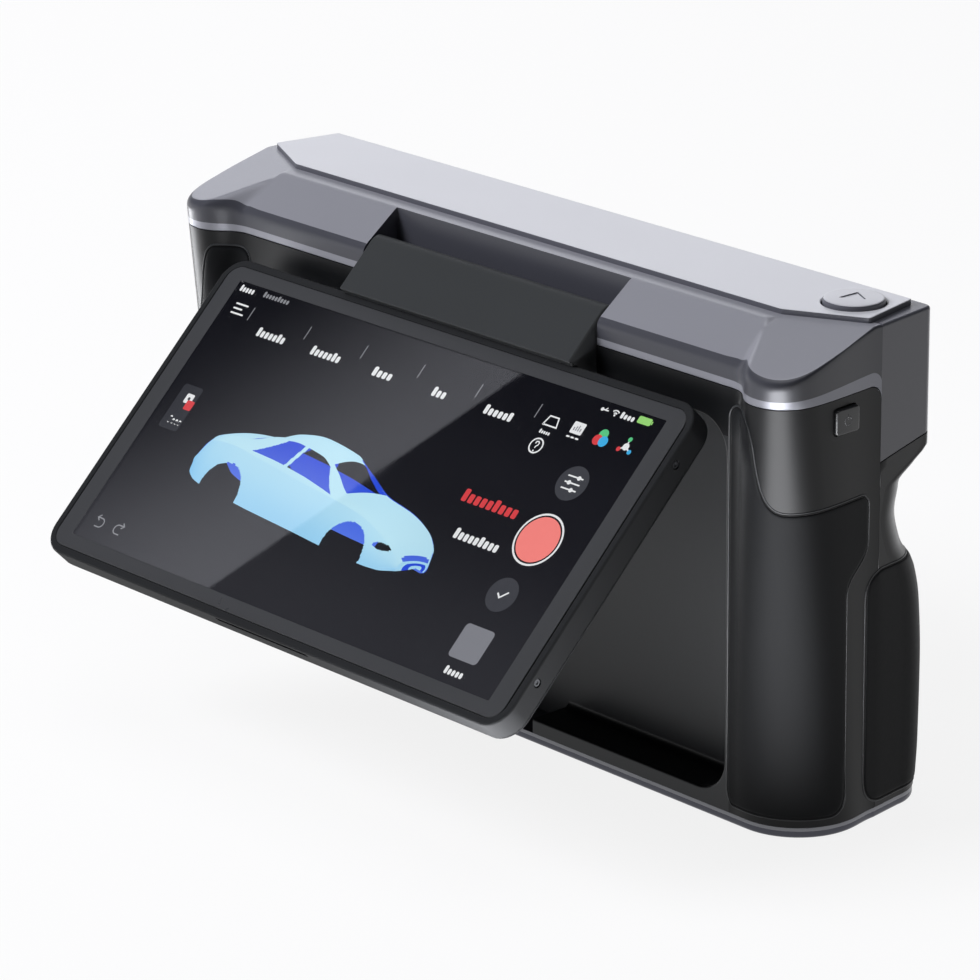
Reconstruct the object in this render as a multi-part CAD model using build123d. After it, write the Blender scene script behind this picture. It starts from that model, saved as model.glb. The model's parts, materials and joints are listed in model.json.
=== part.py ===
from build123d import *
import math
import os

# Handheld three-d scanner with a flip-up touch screen.
# Millimetres. +Z is up, -Y faces the user, +Y faces the scanned object.
# The origin is the mouth of the tripod socket, in the middle of the base.

# Clearances
fit_gap = 0.15
running_gap = 0.4
cut_overrun = 5.0

# Display panel and the glass over it
panel_half_w = 69.6
panel_half_h = 35.2
panel_thick = 1.8
bezel_side = 3.4
bezel_top = 2.3
glass_round = 3.6
glass_thick = 1.0
driver_half_w = 30.0
driver_half_h = 16.0
driver_thick = 1.2

# Screen frame and back shell
rim_side = 2.0
rim_top = 1.9
frame_round = 6.0
frame_depth = 5.6
back_depth = 3.4
back_wall = 1.4
pull_half = 15.0
pull_height = 1.2
pull_depth = 1.0
pull_set = 1.2
screw_spread = 26.5
screw_set = 2.1
screen_screw_radius = 0.9
screen_screw_recess = 0.5
screen_screw_length = 3.2

# Pocket that the screen folds into
lip_height = 5.8
pocket_side_gap = 0.4
pocket_foot_gap = 1.8
pocket_head_gap = 1.4
pocket_back_gap = 0.5
pocket_round = 7.6
lip_notch_half = 16.7

# Screen hinge
hinge_setback = 4.3
hinge_rise = 11.1
glass_offset = 3.1
open_angle = 45.97
shaft_radius = 1.5
shaft_play = 0.04
shaft_grip = 9.8
mount_width = 8.3
mount_ring = 0.8
mount_back = 4.5
mount_cap = 1.0

# Hinge bracket and its notch in the body
bracket_half = 36.8
bracket_lift = 1.9
bracket_lip = 0.5
bracket_top = 4.2
bracket_round = 3.0
bracket_back = 4.1
bracket_back_round = 3.4
bracket_back_drop = 7.0
notch_depth = 10.0
notch_wall = 1.2

# Body
wall = 2.0
rear_depth = 20.0
front_depth = 21.1
parting_depth = 3.8
grip_width = 21.6
head_height = 11.5
parting_inset = 1.0
front_inset = 3.3
front_round = 2.0

# Palm swell on the user's side of each grip
blend_rim = 1.6
blend_hold_share = 0.5
palm_swell = 5.9
crest_inset_top = 7.5
crest_inset_base = 15.0
corner_depth_top = 9.4
corner_depth_base = 15.0
corner_top_share = 0.67
corner_base_share = 0.55
side_hold_share = 0.35

# Front of the grips: finger throat above, finger swell below
throat_depth = 14.3
swell_depth = 24.1
waist_depth = 15.5
grip_round = 10.0
swell_inner_inset = 39.0
swell_hold_share = 0.45
chin_drop = 30.5
chin_rise = 2.5
level_shares = (0.0, 0.153, 0.382, 0.56, 0.662, 0.752, 0.841, 0.917, 0.962, 1.0, 1.08)
reach_shares = (0.85, 0.97, 1.0, 0.91, 0.7, 0.2, 0.0, 0.13, 0.13, 0.13, 0.13)
chin_shares = (0.0, 0.0, 0.0, 0.0, 0.0, 0.0, 0.0, 0.0, 0.55, 1.0, 1.0)

# Top cover and raised top plate
cover_wall = 1.8
band_margin = 0.3
slope_run = 9.9
slope_angle = 36.4
slope_round = 1.5
ledge_round = 0.4
facet_tilt = 17.0
plate_thick = 1.2
plate_setback = 4.3
plate_bend_inset = 20.2
plate_end_inset = 3.35
plate_end_depth = 2.5
plate_front_inset = 6.7
plate_front_margin = 2.8
plate_edge = 0.35

# Base plate, tripod socket and screws
base_thick = 2.4
base_edge = 1.1
socket_radius = 5.0
socket_flange = 1.8
socket_flange_thick = 1.8
socket_bore = 2.55
socket_height = 11.0
socket_depth = 9.0
base_screw_inset = 13.4
base_screw_inner = 20.0
base_screw_setback = 3.2
base_screw_head = 2.2
base_screw_head_high = 1.3
base_screw_radius = 1.2
base_screw_length = 8.0
base_boss_radius = 3.4
base_boss_height = 9.0

# Rubber grips
rubber = 1.2
grip_margin = 2.3
grip_edge = 0.2
grip_horn_drop = 3.7
grip_horn_width = 7.2
grip_horn_round = 3.0
grip_neck_inset = 8.0
grip_shelf_inset = 2.5
grip_shelf_share = 0.664
grip_step_high_share = 0.578
grip_step_low_share = 0.477
grip_side_wide = 0.3
grip_side_narrow = 6.5
front_grip_inset = 34.0
front_grip_margin = 1.8
front_grip_high_share = 0.7
front_grip_round = 6.0
front_grip_rear = 0.3

# Window and optics in the front
window_drop = 17.4
window_inset = 10.0
window_margin = 1.4
window_round = 4.0
window_thick = 1.4
window_ledge = 1.6
far_camera_radius = 5.6
far_camera_share = 0.76
near_camera_radius = 4.6
near_camera_share = 0.41
colour_camera_radius = 5.0
projector_radius = 4.0
projector_share = 0.195
lamp_radius = 3.0
lamp_share = 0.6
lens_set = 0.6
lens_dish = 1.2
module_rim = 1.2
module_depth = 5.0
bar_thick = 2.0
bar_edge = 0.8
bar_setback = 10.1
bar_end_inset = 7.0
bar_post_radius = 2.2

# Scan button on the top plate
scan_end_gap = 3.45
scan_place_share = 0.36
scan_radius = 6.5
scan_gap = 0.3
scan_proud = 1.0
scan_rim = 0.7
scan_rim_thick = 1.0
scan_travel = 0.8
scan_edge = 0.4
switch_half = 3.5
switch_body = 2.6
plunger_radius = 1.6
plunger_rise = 0.9
carrier_thick = 1.4
carrier_half_depth = 4.2

# Power button on the right end
power_setback = 12.6
power_drop = 18.6
power_half_y = 3.3
power_half_z = 2.7
power_proud = 0.6
power_gap = 0.3
power_rim = 0.9
power_rim_thick = 0.9
power_rim_set = 0.9
power_travel = 0.5
power_round = 0.7
power_edge = 0.3
shelf_thick = 1.6

# Charging inlet on the left end
port_half_y = 4.5
port_half_z = 1.6
port_depth = 7.5
port_skin = 0.35
tongue_half_y = 3.3
tongue_half_z = 0.35
tongue_depth = 5.5

# Electronics
board_side_gap = 11.4
board_foot_gap = 9.2
board_head_gap = 11.8
board_thick = 1.6
standoff_height = 4.0
standoff_radius = 3.0
standoff_inset = 6.0
spreader_inset = 30.0
spreader_margin = 7.0
spreader_thick = 1.5
battery_side_gap = 10.0
battery_foot_gap = 9.6
battery_head_gap = 12.5
battery_thick = 8.0
battery_round = 3.0
battery_pad = 0.3

# Places worked out from the sizes above
glass_half_w = panel_half_w + bezel_side
glass_half_h = panel_half_h + bezel_top
frame_half_w = glass_half_w + rim_side
frame_half_h = glass_half_h + rim_top
centre_z = lip_height + pocket_foot_gap + frame_half_h
hinge_z = centre_z + frame_half_h + hinge_rise
body_height = hinge_z + head_height
pocket_half = frame_half_w + pocket_side_gap
pocket_high = centre_z + frame_half_h + pocket_head_gap
half_width = pocket_half + grip_width
far_reach = 2 * half_width
face_y = -rear_depth
hinge_y = face_y + hinge_setback
glass_y = hinge_y - glass_offset
frame_back_y = glass_y + frame_depth
screen_back_y = frame_back_y + back_depth
pocket_y = screen_back_y + pocket_back_gap
inner_y = pocket_y + wall
notch_y = face_y + notch_depth
notch_half = bracket_half + running_gap
mount_inner = notch_half + notch_wall + fit_gap
mount_outer = mount_inner + mount_width
parting_half = half_width - parting_inset
front_half = half_width - front_inset
blend_start = pocket_half + blend_rim
chin_z = body_height - chin_drop
ledge_z = body_height - plate_thick
roof_z = ledge_z - cover_wall
band_z = hinge_z - shaft_radius - running_gap - band_margin
slope_y = face_y + slope_run
slope_fall = math.tan(math.radians(slope_angle))
plate_rear_y = slope_y + plate_setback
plate_bend_half = half_width - plate_bend_inset
plate_end_half = half_width - plate_end_inset
base_screw_half = pocket_half - base_screw_inset
base_screw_y = inner_y + base_screw_setback
window_z = body_height - window_drop
window_half_w = half_width - window_inset
window_half_h = far_camera_radius + window_ledge + window_margin
bar_front_y = front_depth - bar_setback
bar_back_y = bar_front_y - bar_thick
plate_front_y = front_depth - plate_front_margin
scan_x = plate_end_half - scan_end_gap - scan_radius
scan_y = plate_end_depth + scan_place_share * (plate_front_y - plate_end_depth)
scan_rim_z = roof_z - running_gap
scan_touch_z = scan_rim_z - scan_rim_thick - scan_travel - running_gap
carrier_half = scan_radius + scan_rim + running_gap + carrier_thick
carrier_z = scan_touch_z - plunger_rise - switch_body
power_y = face_y + power_setback
power_z = body_height - power_drop
power_rim_x = half_width - wall - power_rim_set
power_touch_x = power_rim_x - power_rim_thick - power_travel - running_gap
shelf_z = power_z - power_half_z - power_rim - running_gap
port_z = shelf_z + port_half_z
board_y = inner_y + standoff_height
board_half_w = pocket_half - board_side_gap
board_low = lip_height + board_foot_gap
board_high = pocket_high - board_head_gap
hinge_line = Axis((0, hinge_y, hinge_z), (1, 0, 0))


def block(x0, x1, y0, y1, z0, z1):
    corner = (Align.MIN, Align.MIN, Align.MIN)
    return Pos(x0, y0, z0) * Box(x1 - x0, y1 - y0, z1 - z0, align=corner)


def slab(z0, z1):
    return block(-far_reach, far_reach, -far_reach, far_reach, z0, z1)


def along_x(sketch, x0, x1):
    return extrude(Plane.YZ.offset(x0) * sketch, amount=x1 - x0)


def along_y(sketch, y0, y1):
    return extrude(Plane.XZ.offset(-y1) * sketch, amount=y1 - y0)


def along_z(sketch, z0, z1):
    return extrude(Plane.XY.offset(z0) * sketch, amount=z1 - z0)


def rod_x(radius, x0, x1, y, z):
    return along_x(Pos(y, z) * Circle(radius), x0, x1)


def rod_y(radius, x, y0, y1, z):
    return along_y(Pos(x, z) * Circle(radius), y0, y1)


def rod_z(radius, x, y, z0, z1):
    return along_z(Pos(x, y) * Circle(radius), z0, z1)


def flipped(solid):
    return mirror(solid, about=Plane.YZ)


def both_ends(solid):
    return solid + flipped(solid)


def mix(a, b, share):
    return a + (b - a) * share


def closed_outline(half):
    return make_face(half + mirror(half, about=Plane.YZ))


def rear_section(z, swell, crest_half, corner_depth, round_share, inset):
    # Plan of the rear half: flat face, S-shaped palm swell, rounded corner, nearly straight side
    face = face_y + inset
    crest_y = face - swell
    side_half = half_width - inset
    side_y = face_y - swell + corner_depth
    seam_half = parting_half - inset
    hold = blend_hold_share * (crest_half - blend_start)
    turn_x = round_share * (side_half - crest_half)
    turn_y = round_share * (side_y - crest_y)
    run = side_hold_share * (parting_depth - side_y)
    half = Line((0, face), (blend_start, face))
    half += Bezier(
        (blend_start, face),
        (blend_start + hold, face),
        (crest_half - hold, crest_y),
        (crest_half, crest_y),
    )
    half += Bezier(
        (crest_half, crest_y),
        (crest_half + turn_x, crest_y),
        (side_half, side_y - turn_y),
        (side_half, side_y),
    )
    half += Bezier(
        (side_half, side_y),
        (side_half, side_y + run),
        (seam_half, parting_depth - run),
        (seam_half, parting_depth),
    )
    half += Line((seam_half, parting_depth), (0, parting_depth))
    return Pos(0, 0, z) * closed_outline(half)


def rear_base_section(inset):
    crest = half_width - crest_inset_base
    return rear_section(0, 0, crest, corner_depth_base, corner_base_share, inset)


def rear_form(inset):
    crest = half_width - crest_inset_top
    top = rear_section(
        body_height, palm_swell, crest, corner_depth_top, corner_top_share, inset
    )
    return loft([rear_base_section(inset), top], ruled=True)


def side_half_at(y):
    return mix(parting_half, front_half, (y - parting_depth) / (front_depth - parting_depth))


def front_section(level, inset):
    # Plan of the front half at one level: side, rounded finger swell, waist in the middle
    chin = chin_shares[level]
    reach = mix(throat_depth, swell_depth, reach_shares[level])
    reach = mix(reach, front_depth, chin)
    waist = mix(waist_depth, front_depth, chin) - inset
    turn = mix(grip_round, front_round, chin)
    inner = mix(half_width - swell_inner_inset, front_half - grip_round - front_round, chin)
    corner_y = reach - turn
    corner_half = side_half_at(corner_y) - inset
    crest_y = reach - inset
    crest_half = corner_half - turn
    hold = corner_base_share * turn
    run = swell_hold_share * (crest_half - inner)
    half = Line((0, parting_depth), (parting_half - inset, parting_depth))
    half += Line((parting_half - inset, parting_depth), (corner_half, corner_y))
    half += Bezier(
        (corner_half, corner_y),
        (corner_half, mix(corner_y, crest_y, corner_base_share)),
        (crest_half + hold, crest_y),
        (crest_half, crest_y),
    )
    half += Bezier(
        (crest_half, crest_y),
        (crest_half - run, crest_y),
        (inner + run, waist),
        (inner, waist),
    )
    half += Line((inner, waist), (0, waist))
    return Pos(0, 0, level_shares[level] * chin_z) * closed_outline(half)


def front_form(inset):
    return loft([front_section(level, inset) for level in range(len(level_shares))])


def rear_skin(depth):
    return rear_form(0) - rear_form(depth)


def front_skin(depth):
    return front_form(0) - front_form(depth)


def head_outline(inset):
    # Plan of the optics housing, ahead of the parting line
    corners = Polyline(
        (-parting_half + inset, parting_depth),
        (-front_half + inset, front_depth - inset),
        (front_half - inset, front_depth - inset),
        (parting_half - inset, parting_depth),
        close=True,
    )
    sketch = make_face(corners)
    return fillet(sketch.vertices().sort_by(Axis.Y)[2:], front_round)


def below_chin():
    # Everything under the slanting joint between front cover and optics housing
    far_y = front_depth + cut_overrun
    rise = chin_rise * (far_y - parting_depth) / (front_depth - parting_depth)
    profile = Polyline(
        (parting_depth, 0),
        (parting_depth, chin_z),
        (far_y, chin_z + rise),
        (far_y, 0),
        close=True,
    )
    return along_x(make_face(profile), -far_reach, far_reach)


def grip_window(grow):
    # Outline of one rear grip: its view from behind, cut by its view from the side
    left = blend_start - grip_edge - grow
    low = base_thick + grip_margin - grow
    horn = band_z - grip_horn_drop + grow
    horn_half = left + grip_horn_width
    neck = half_width - grip_neck_inset
    shelf = grip_shelf_share * body_height + grow
    shelf_half = half_width - grip_shelf_inset
    rear_view = Line((far_reach, low), (left, low))
    rear_view += Line((left, low), (left, horn - grip_horn_round))
    rear_view += Bezier((left, horn - grip_horn_round), (left, horn), (left + grip_horn_round, horn))
    rear_view += Line((left + grip_horn_round, horn), (horn_half, horn))
    waist = neck - grip_horn_round
    rear_view += Bezier((horn_half, horn), (neck, horn), (waist, shelf), (shelf_half, shelf))
    rear_view += Line((shelf_half, shelf), (far_reach, shelf))
    rear_view += Line((far_reach, shelf), (far_reach, low))
    narrow = -grip_side_narrow + grow
    wide = grip_side_wide + grow
    step_low = grip_step_low_share * body_height
    step_high = grip_step_high_share * body_height
    middle = (step_high + step_low) / 2
    side_view = Line((-far_reach, 0), (narrow, 0))
    side_view += Line((narrow, 0), (narrow, step_low))
    side_view += Bezier((narrow, step_low), (narrow, middle), (wide, middle), (wide, step_high))
    side_view += Line((wide, step_high), (wide, body_height))
    side_view += Line((wide, body_height), (-far_reach, body_height))
    side_view += Line((-far_reach, body_height), (-far_reach, 0))
    rear_prism = along_y(make_face(rear_view), -far_reach, parting_depth)
    return rear_prism & along_x(make_face(side_view), left, far_reach)


def front_grip_window(grow):
    low = base_thick + front_grip_margin - grow
    high = front_grip_high_share * chin_z + grow
    inner = half_width - front_grip_inset - grow
    rear = front_grip_rear - grow
    middle = (low + high) / 2
    side = RectangleRounded(far_reach - rear, high - low, front_grip_round)
    ahead = RectangleRounded(2 * (far_reach - inner), high - low, front_grip_round)
    side_view = along_x(Pos((rear + far_reach) / 2, middle) * side, 0, far_reach)
    return side_view & along_y(Pos(far_reach, middle) * ahead, -far_reach, far_reach)


def rear_grip():
    return rear_skin(rubber) & grip_window(0)


def front_grip():
    window = front_grip_window(0)
    return (front_skin(rubber) & window) + (rear_skin(rubber) & window)


def base_screw_spots():
    return [sign * x for sign in (-1, 1) for x in (base_screw_half, base_screw_inner)]


def standoff_spots():
    half = board_half_w - standoff_inset
    heights = (board_low + standoff_inset, board_high - standoff_inset)
    return [(x, z) for x in (-half, half) for z in heights]


def screen_pocket():
    outline = RectangleRounded(2 * pocket_half, pocket_high - lip_height, pocket_round)
    return along_y(Pos(0, (pocket_high + lip_height) / 2) * outline, -far_reach, pocket_y)


def bracket_notch():
    low = pocket_high - pocket_round
    return block(-notch_half, notch_half, -far_reach, notch_y, low, body_height)


def notch_lining(thick):
    side = notch_half + notch_wall
    return block(-side, side, -far_reach, notch_y + thick, 0, body_height)


def port_outline(grow):
    return Pos(power_y, port_z) * SlotOverall(2 * (port_half_y + grow), 2 * (port_half_z + grow))


def rear_housing():
    hollow = rear_form(wall)
    lined = pocket_half + wall
    hollow -= block(-lined, lined, -far_reach, inner_y, 0, pocket_high + wall)
    hollow -= notch_lining(wall)
    shelf = block(pocket_half, half_width, face_y, parting_depth, shelf_z - shelf_thick, shelf_z)
    hollow -= both_ends(shelf)
    for x in base_screw_spots():
        hollow -= rod_z(base_boss_radius, x, base_screw_y, 0, base_boss_height)
    for x, z in standoff_spots():
        hollow -= rod_y(standoff_radius, x, pocket_y, board_y, z)
    shell = (rear_form(0) & slab(base_thick, band_z)) - hollow
    shell -= screen_pocket()
    shell -= bracket_notch()
    shell -= block(-lip_notch_half, lip_notch_half, -far_reach, pocket_y, 0, lip_height + pocket_round)
    shell -= both_ends(rear_skin(rubber) & grip_window(fit_gap))
    shell -= both_ends(rear_skin(rubber) & front_grip_window(fit_gap))
    shell -= along_x(power_outline(power_gap), half_width - 2 * wall, far_reach)
    shell -= along_x(port_outline(fit_gap), -far_reach, -half_width + 2 * wall)
    for x in base_screw_spots():
        shell -= rod_z(base_screw_radius, x, base_screw_y, 0, base_screw_length)
    return shell


def front_cover():
    shell = (front_form(0) & slab(base_thick, body_height)) - front_form(wall)
    shell &= below_chin()
    return shell - both_ends(front_skin(rubber) & front_grip_window(fit_gap))


def window_outline(shrink):
    width = window_half_w - shrink
    height = window_half_h - shrink
    return Pos(0, window_z) * RectangleRounded(2 * width, 2 * height, window_round - shrink)


def scan_well(z0):
    return rod_z(scan_radius + scan_gap, scan_x, scan_y, z0, body_height)


def optics_housing():
    shell = along_z(head_outline(0), chin_z, ledge_z) - along_z(head_outline(wall), 0, roof_z)
    shell -= below_chin()
    shell -= along_y(window_outline(-fit_gap), front_depth - window_thick, far_reach)
    shell -= along_y(window_outline(window_ledge), parting_depth, far_reach)
    return shell - scan_well(band_z)


def lens_spots():
    # Place across the window, radius and name of every lens
    far = far_camera_share * window_half_w
    near = near_camera_share * window_half_w
    beam = projector_share * window_half_w
    return [
        (-far, far_camera_radius, "far_camera_left"),
        (far, far_camera_radius, "far_camera_right"),
        (-near, near_camera_radius, "near_camera_left"),
        (near, near_camera_radius, "near_camera_right"),
        (-beam, projector_radius, "near_projector"),
        (beam, projector_radius, "far_projector"),
        (0, colour_camera_radius, "colour_camera"),
    ]


def lamp_spots():
    place = lamp_share * window_half_w
    return [(-place, lamp_radius, "fill_light_left"), (place, lamp_radius, "fill_light_right")]


def lens_holes(y0, y1):
    spots = lens_spots() + lamp_spots()
    return [rod_y(radius + fit_gap, x, y0, y1, window_z) for x, radius, name in spots]


def lens_window():
    pane = along_y(window_outline(0), front_depth - window_thick, front_depth)
    return pane - lens_holes(parting_depth, far_reach)


def optics_frame():
    # Rigid bar that keeps every lens in line, carried on a post at each end
    half_w = window_half_w - bar_end_inset
    half_h = far_camera_radius + bar_edge
    post_x = window_half_w
    bar = block(-half_w, half_w, bar_back_y, bar_front_y, window_z - half_h, window_z + half_h)
    bar -= lens_holes(bar_back_y, bar_front_y)
    low = window_z - bar_post_radius
    ear = block(half_w, post_x, bar_back_y, bar_front_y, low, window_z + bar_post_radius)
    ear += rod_y(bar_post_radius, post_x, bar_back_y, front_depth - wall, window_z)
    return bar + both_ends(ear)


def lens_module(x, radius):
    front = front_depth - lens_set
    side = radius + module_rim
    low = window_z - side
    rear = bar_back_y - module_depth
    base = block(x - side, x + side, rear, bar_back_y, low, window_z + side)
    barrel = rod_y(radius, x, bar_back_y, front, window_z)
    rear_up = (Align.CENTER, Align.CENTER, Align.MIN)
    dish = Cone(radius - lens_set, radius / 2, lens_dish, align=rear_up)
    return base + barrel - Pos(x, front, window_z) * Rot(90, 0, 0) * dish


def fill_light(x):
    stem = rod_y(lamp_radius, x, bar_back_y, front_depth - lens_set, window_z)
    return stem + rod_y(lamp_radius + module_rim, x, bar_back_y - module_rim, bar_back_y, window_z)


def facet_plane(drop):
    run_x = plate_end_half - plate_bend_half
    run_y = plate_end_depth - plate_rear_y
    length = math.hypot(run_x, run_y)
    lean = math.sin(math.radians(facet_tilt))
    normal = (lean * run_y / length, -lean * run_x / length, math.cos(math.radians(facet_tilt)))
    return Plane(origin=(plate_bend_half, plate_rear_y, ledge_z - drop), z_dir=normal)


def cover_top(drop):
    # Space under the ledge, the long slope and the two shoulder facets, lowered by the drop
    top = ledge_z - drop
    lean = math.radians(slope_angle)
    break_y = slope_y + drop * math.tan(lean / 2)
    rear = face_y + drop
    profile = Polyline(
        (far_reach, 0),
        (far_reach, top),
        (break_y, top),
        (rear, top - (break_y - rear) * slope_fall),
        (rear, 0),
        close=True,
    )
    outline = make_face(profile)
    corners = outline.vertices().sort_by(Axis.X)
    if drop == 0:
        outline = fillet(corners[1], slope_round)
        outline = fillet(outline.vertices().sort_by_distance((break_y, top))[0], ledge_round)
    middle = along_x(outline, -far_reach, far_reach)
    shoulder = block(plate_bend_half / 2, far_reach, -far_reach, parting_depth, 0, top)
    shoulder = split(shoulder, bisect_by=facet_plane(drop), keep=Keep.BOTTOM)
    flank = Plane(origin=(blend_start + drop, slope_y, top), z_dir=(1, slope_fall, -1))
    shoulder = split(shoulder, bisect_by=flank, keep=Keep.TOP)
    shave = block(blend_start, far_reach, -far_reach, parting_depth, 0, body_height)
    shave = split(shave, bisect_by=facet_plane(drop), keep=Keep.TOP)
    shave = split(shave, bisect_by=Plane(origin=(blend_start, 0, top), z_dir=(1, 0, 1)), keep=Keep.TOP)
    return middle - both_ends(shave) + both_ends(shoulder)


def top_cover():
    outer = (rear_form(0) & slab(band_z, ledge_z)) & cover_top(0)
    inner = (rear_form(cover_wall) & cover_top(cover_wall)) - notch_lining(cover_wall)
    cover = outer - inner
    cover -= bracket_notch()
    passage = rod_x(shaft_radius + running_gap, bracket_half, mount_outer, hinge_y, hinge_z)
    cover -= both_ends(passage)
    return cover - scan_well(band_z)


def top_plate():
    corners = [
        (half_width - plate_front_inset, plate_front_y),
        (plate_end_half, plate_end_depth),
        (plate_bend_half, plate_rear_y),
        (-plate_bend_half, plate_rear_y),
        (-plate_end_half, plate_end_depth),
        (-half_width + plate_front_inset, plate_front_y),
    ]
    plate = along_z(make_face(Polyline(*corners, close=True)), ledge_z, body_height)
    plate = chamfer(plate.faces().sort_by(Axis.Z)[-1].edges(), plate_edge)
    return plate - scan_well(ledge_z)


def base_plate():
    plate = extrude(rear_base_section(0) + front_section(0, 0), amount=base_thick)
    plate = fillet(plate.faces().sort_by(Axis.Z)[0].edges(), base_edge)
    plate -= rod_z(socket_radius, 0, 0, 0, base_thick)
    for x in base_screw_spots():
        plate -= rod_z(base_screw_radius, x, base_screw_y, 0, base_thick)
        plate -= rod_z(base_screw_head + fit_gap, x, base_screw_y, 0, base_screw_head_high)
    return plate


def tripod_socket():
    body = rod_z(socket_radius, 0, 0, 0, socket_height)
    body += rod_z(socket_radius + socket_flange, 0, 0, base_thick, base_thick + socket_flange_thick)
    return body - rod_z(socket_bore, 0, 0, 0, socket_depth)


def base_screws():
    screws = []
    for x in base_screw_spots():
        head = rod_z(base_screw_head, x, base_screw_y, fit_gap, base_screw_head_high)
        shank = rod_z(base_screw_radius, x, base_screw_y, base_screw_head_high, base_screw_length)
        screws.append(head + shank)
    return Compound(children=screws)


def power_outline(grow):
    width = power_half_y + grow
    height = power_half_z + grow
    return Pos(power_y, power_z) * RectangleRounded(2 * width, 2 * height, power_round + max(grow, 0))


def power_button():
    button = along_x(power_outline(0), power_rim_x, half_width + power_proud)
    button = fillet(button.faces().sort_by(Axis.X)[-1].edges(), power_edge)
    return button + along_x(power_outline(power_rim), power_rim_x - power_rim_thick, power_rim_x)


def power_switch():
    front = power_touch_x - plunger_rise
    y0 = power_y - switch_half
    y1 = power_y + switch_half
    body = block(front - switch_body, front, y0, y1, shelf_z, power_z + switch_half)
    return body + rod_x(plunger_radius, front, power_touch_x, power_y, power_z)


def scan_button():
    foot = scan_rim_z - scan_rim_thick
    cap = rod_z(scan_radius, scan_x, scan_y, foot, body_height + scan_proud)
    cap = fillet(cap.faces().sort_by(Axis.Z)[-1].edges(), scan_edge)
    return cap + rod_z(scan_radius + scan_rim, scan_x, scan_y, foot, scan_rim_z)


def scan_switch():
    top = scan_touch_z - plunger_rise
    x0 = scan_x - switch_half
    y0 = scan_y - switch_half
    body = block(x0, scan_x + switch_half, y0, scan_y + switch_half, carrier_z, top)
    return body + rod_z(plunger_radius, scan_x, scan_y, top, scan_touch_z)


def switch_carrier():
    # Small bridge hung from the roof, which backs the scan switch
    y0 = scan_y - carrier_half_depth
    y1 = scan_y + carrier_half_depth
    low = carrier_z - carrier_thick
    bridge = block(scan_x - carrier_half, scan_x + carrier_half, y0, y1, low, carrier_z)
    for x in (scan_x - carrier_half, scan_x + carrier_half - carrier_thick):
        bridge += block(x, x + carrier_thick, y0, y1, carrier_z, roof_z)
    return bridge


def usb_port():
    mouth = -half_width + fit_gap
    shell = along_x(port_outline(0), mouth, mouth + port_depth)
    shell -= along_x(port_outline(-port_skin), mouth, mouth + tongue_depth + port_skin)
    y0 = power_y - tongue_half_y
    y1 = power_y + tongue_half_y
    low = port_z - tongue_half_z
    tongue = block(mouth + port_skin, mouth + port_depth, y0, y1, low, port_z + tongue_half_z)
    return shell + tongue


def hinge_mount():
    # Bearing block with a round nose, which clears the slope of the top cover
    ring = shaft_radius + mount_ring
    foot = pocket_high + wall
    back = hinge_y + mount_back
    body = block(mount_inner, mount_outer, hinge_y - ring, back, foot, hinge_z)
    body += block(mount_inner, mount_outer, hinge_y, back, foot, hinge_z + ring)
    body += rod_x(ring, mount_inner, mount_outer, hinge_y, hinge_z)
    return body - rod_x(shaft_radius + shaft_play, mount_inner, mount_outer, hinge_y, hinge_z)


def hinge_shaft():
    return rod_x(shaft_radius, bracket_half - shaft_grip, mount_outer - mount_cap, hinge_y, hinge_z)


def hinge_bracket():
    front = -glass_offset - bracket_lift
    lip = -hinge_rise - bracket_lip
    profile = make_face(
        Polyline(
            (front, lip),
            (front, bracket_top),
            (bracket_back, bracket_top),
            (bracket_back, -bracket_back_drop),
            (frame_depth - glass_offset, -hinge_rise),
            (-glass_offset, -hinge_rise),
            (-glass_offset, lip),
            close=True,
        )
    )
    crown = profile.vertices().sort_by_distance((front, bracket_top))[0]
    profile = fillet(crown, bracket_round)
    crown = profile.vertices().sort_by_distance((bracket_back, bracket_top))[0]
    profile = fillet(crown, bracket_back_round)
    bracket = along_x(Pos(hinge_y, hinge_z) * profile, -bracket_half, bracket_half)
    bore = rod_x(shaft_radius, bracket_half - shaft_grip, bracket_half, hinge_y, hinge_z)
    return bracket - both_ends(bore)


def screen_outline(half_w, half_h, corner):
    return Pos(0, centre_z) * RectangleRounded(2 * half_w, 2 * half_h, corner)


def frame_outline():
    return screen_outline(frame_half_w, frame_half_h, frame_round)


def side_screws(outer):
    y = glass_y + screw_set
    pair = [
        rod_x(screen_screw_radius, frame_half_w - screen_screw_length, outer, y, centre_z + offset)
        for offset in (-screw_spread, screw_spread)
    ]
    return pair + [flipped(screw) for screw in pair]


def screen_frame():
    ring = along_y(frame_outline(), glass_y, frame_back_y)
    seat = screen_outline(glass_half_w + fit_gap, glass_half_h + fit_gap, glass_round)
    ring -= along_y(seat, glass_y, glass_y + glass_thick)
    through = screen_outline(panel_half_w + fit_gap, panel_half_h + fit_gap, glass_round / 2)
    ring -= along_y(through, glass_y, frame_back_y)
    foot = centre_z - frame_half_h
    pull = Pos(0, glass_y + pull_set) * SlotOverall(2 * pull_half, pull_height)
    ring -= along_z(pull, foot, foot + pull_depth)
    return ring - side_screws(frame_half_w)


def screen_screws():
    return Compound(children=side_screws(frame_half_w - screen_screw_recess))


def cover_glass():
    return along_y(screen_outline(glass_half_w, glass_half_h, glass_round), glass_y, glass_y + glass_thick)


def display_panel():
    start = glass_y + glass_thick
    return along_y(screen_outline(panel_half_w, panel_half_h, glass_round / 2), start, start + panel_thick)


def display_driver():
    start = glass_y + glass_thick + panel_thick
    return along_y(screen_outline(driver_half_w, driver_half_h, driver_thick), start, start + driver_thick)


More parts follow.
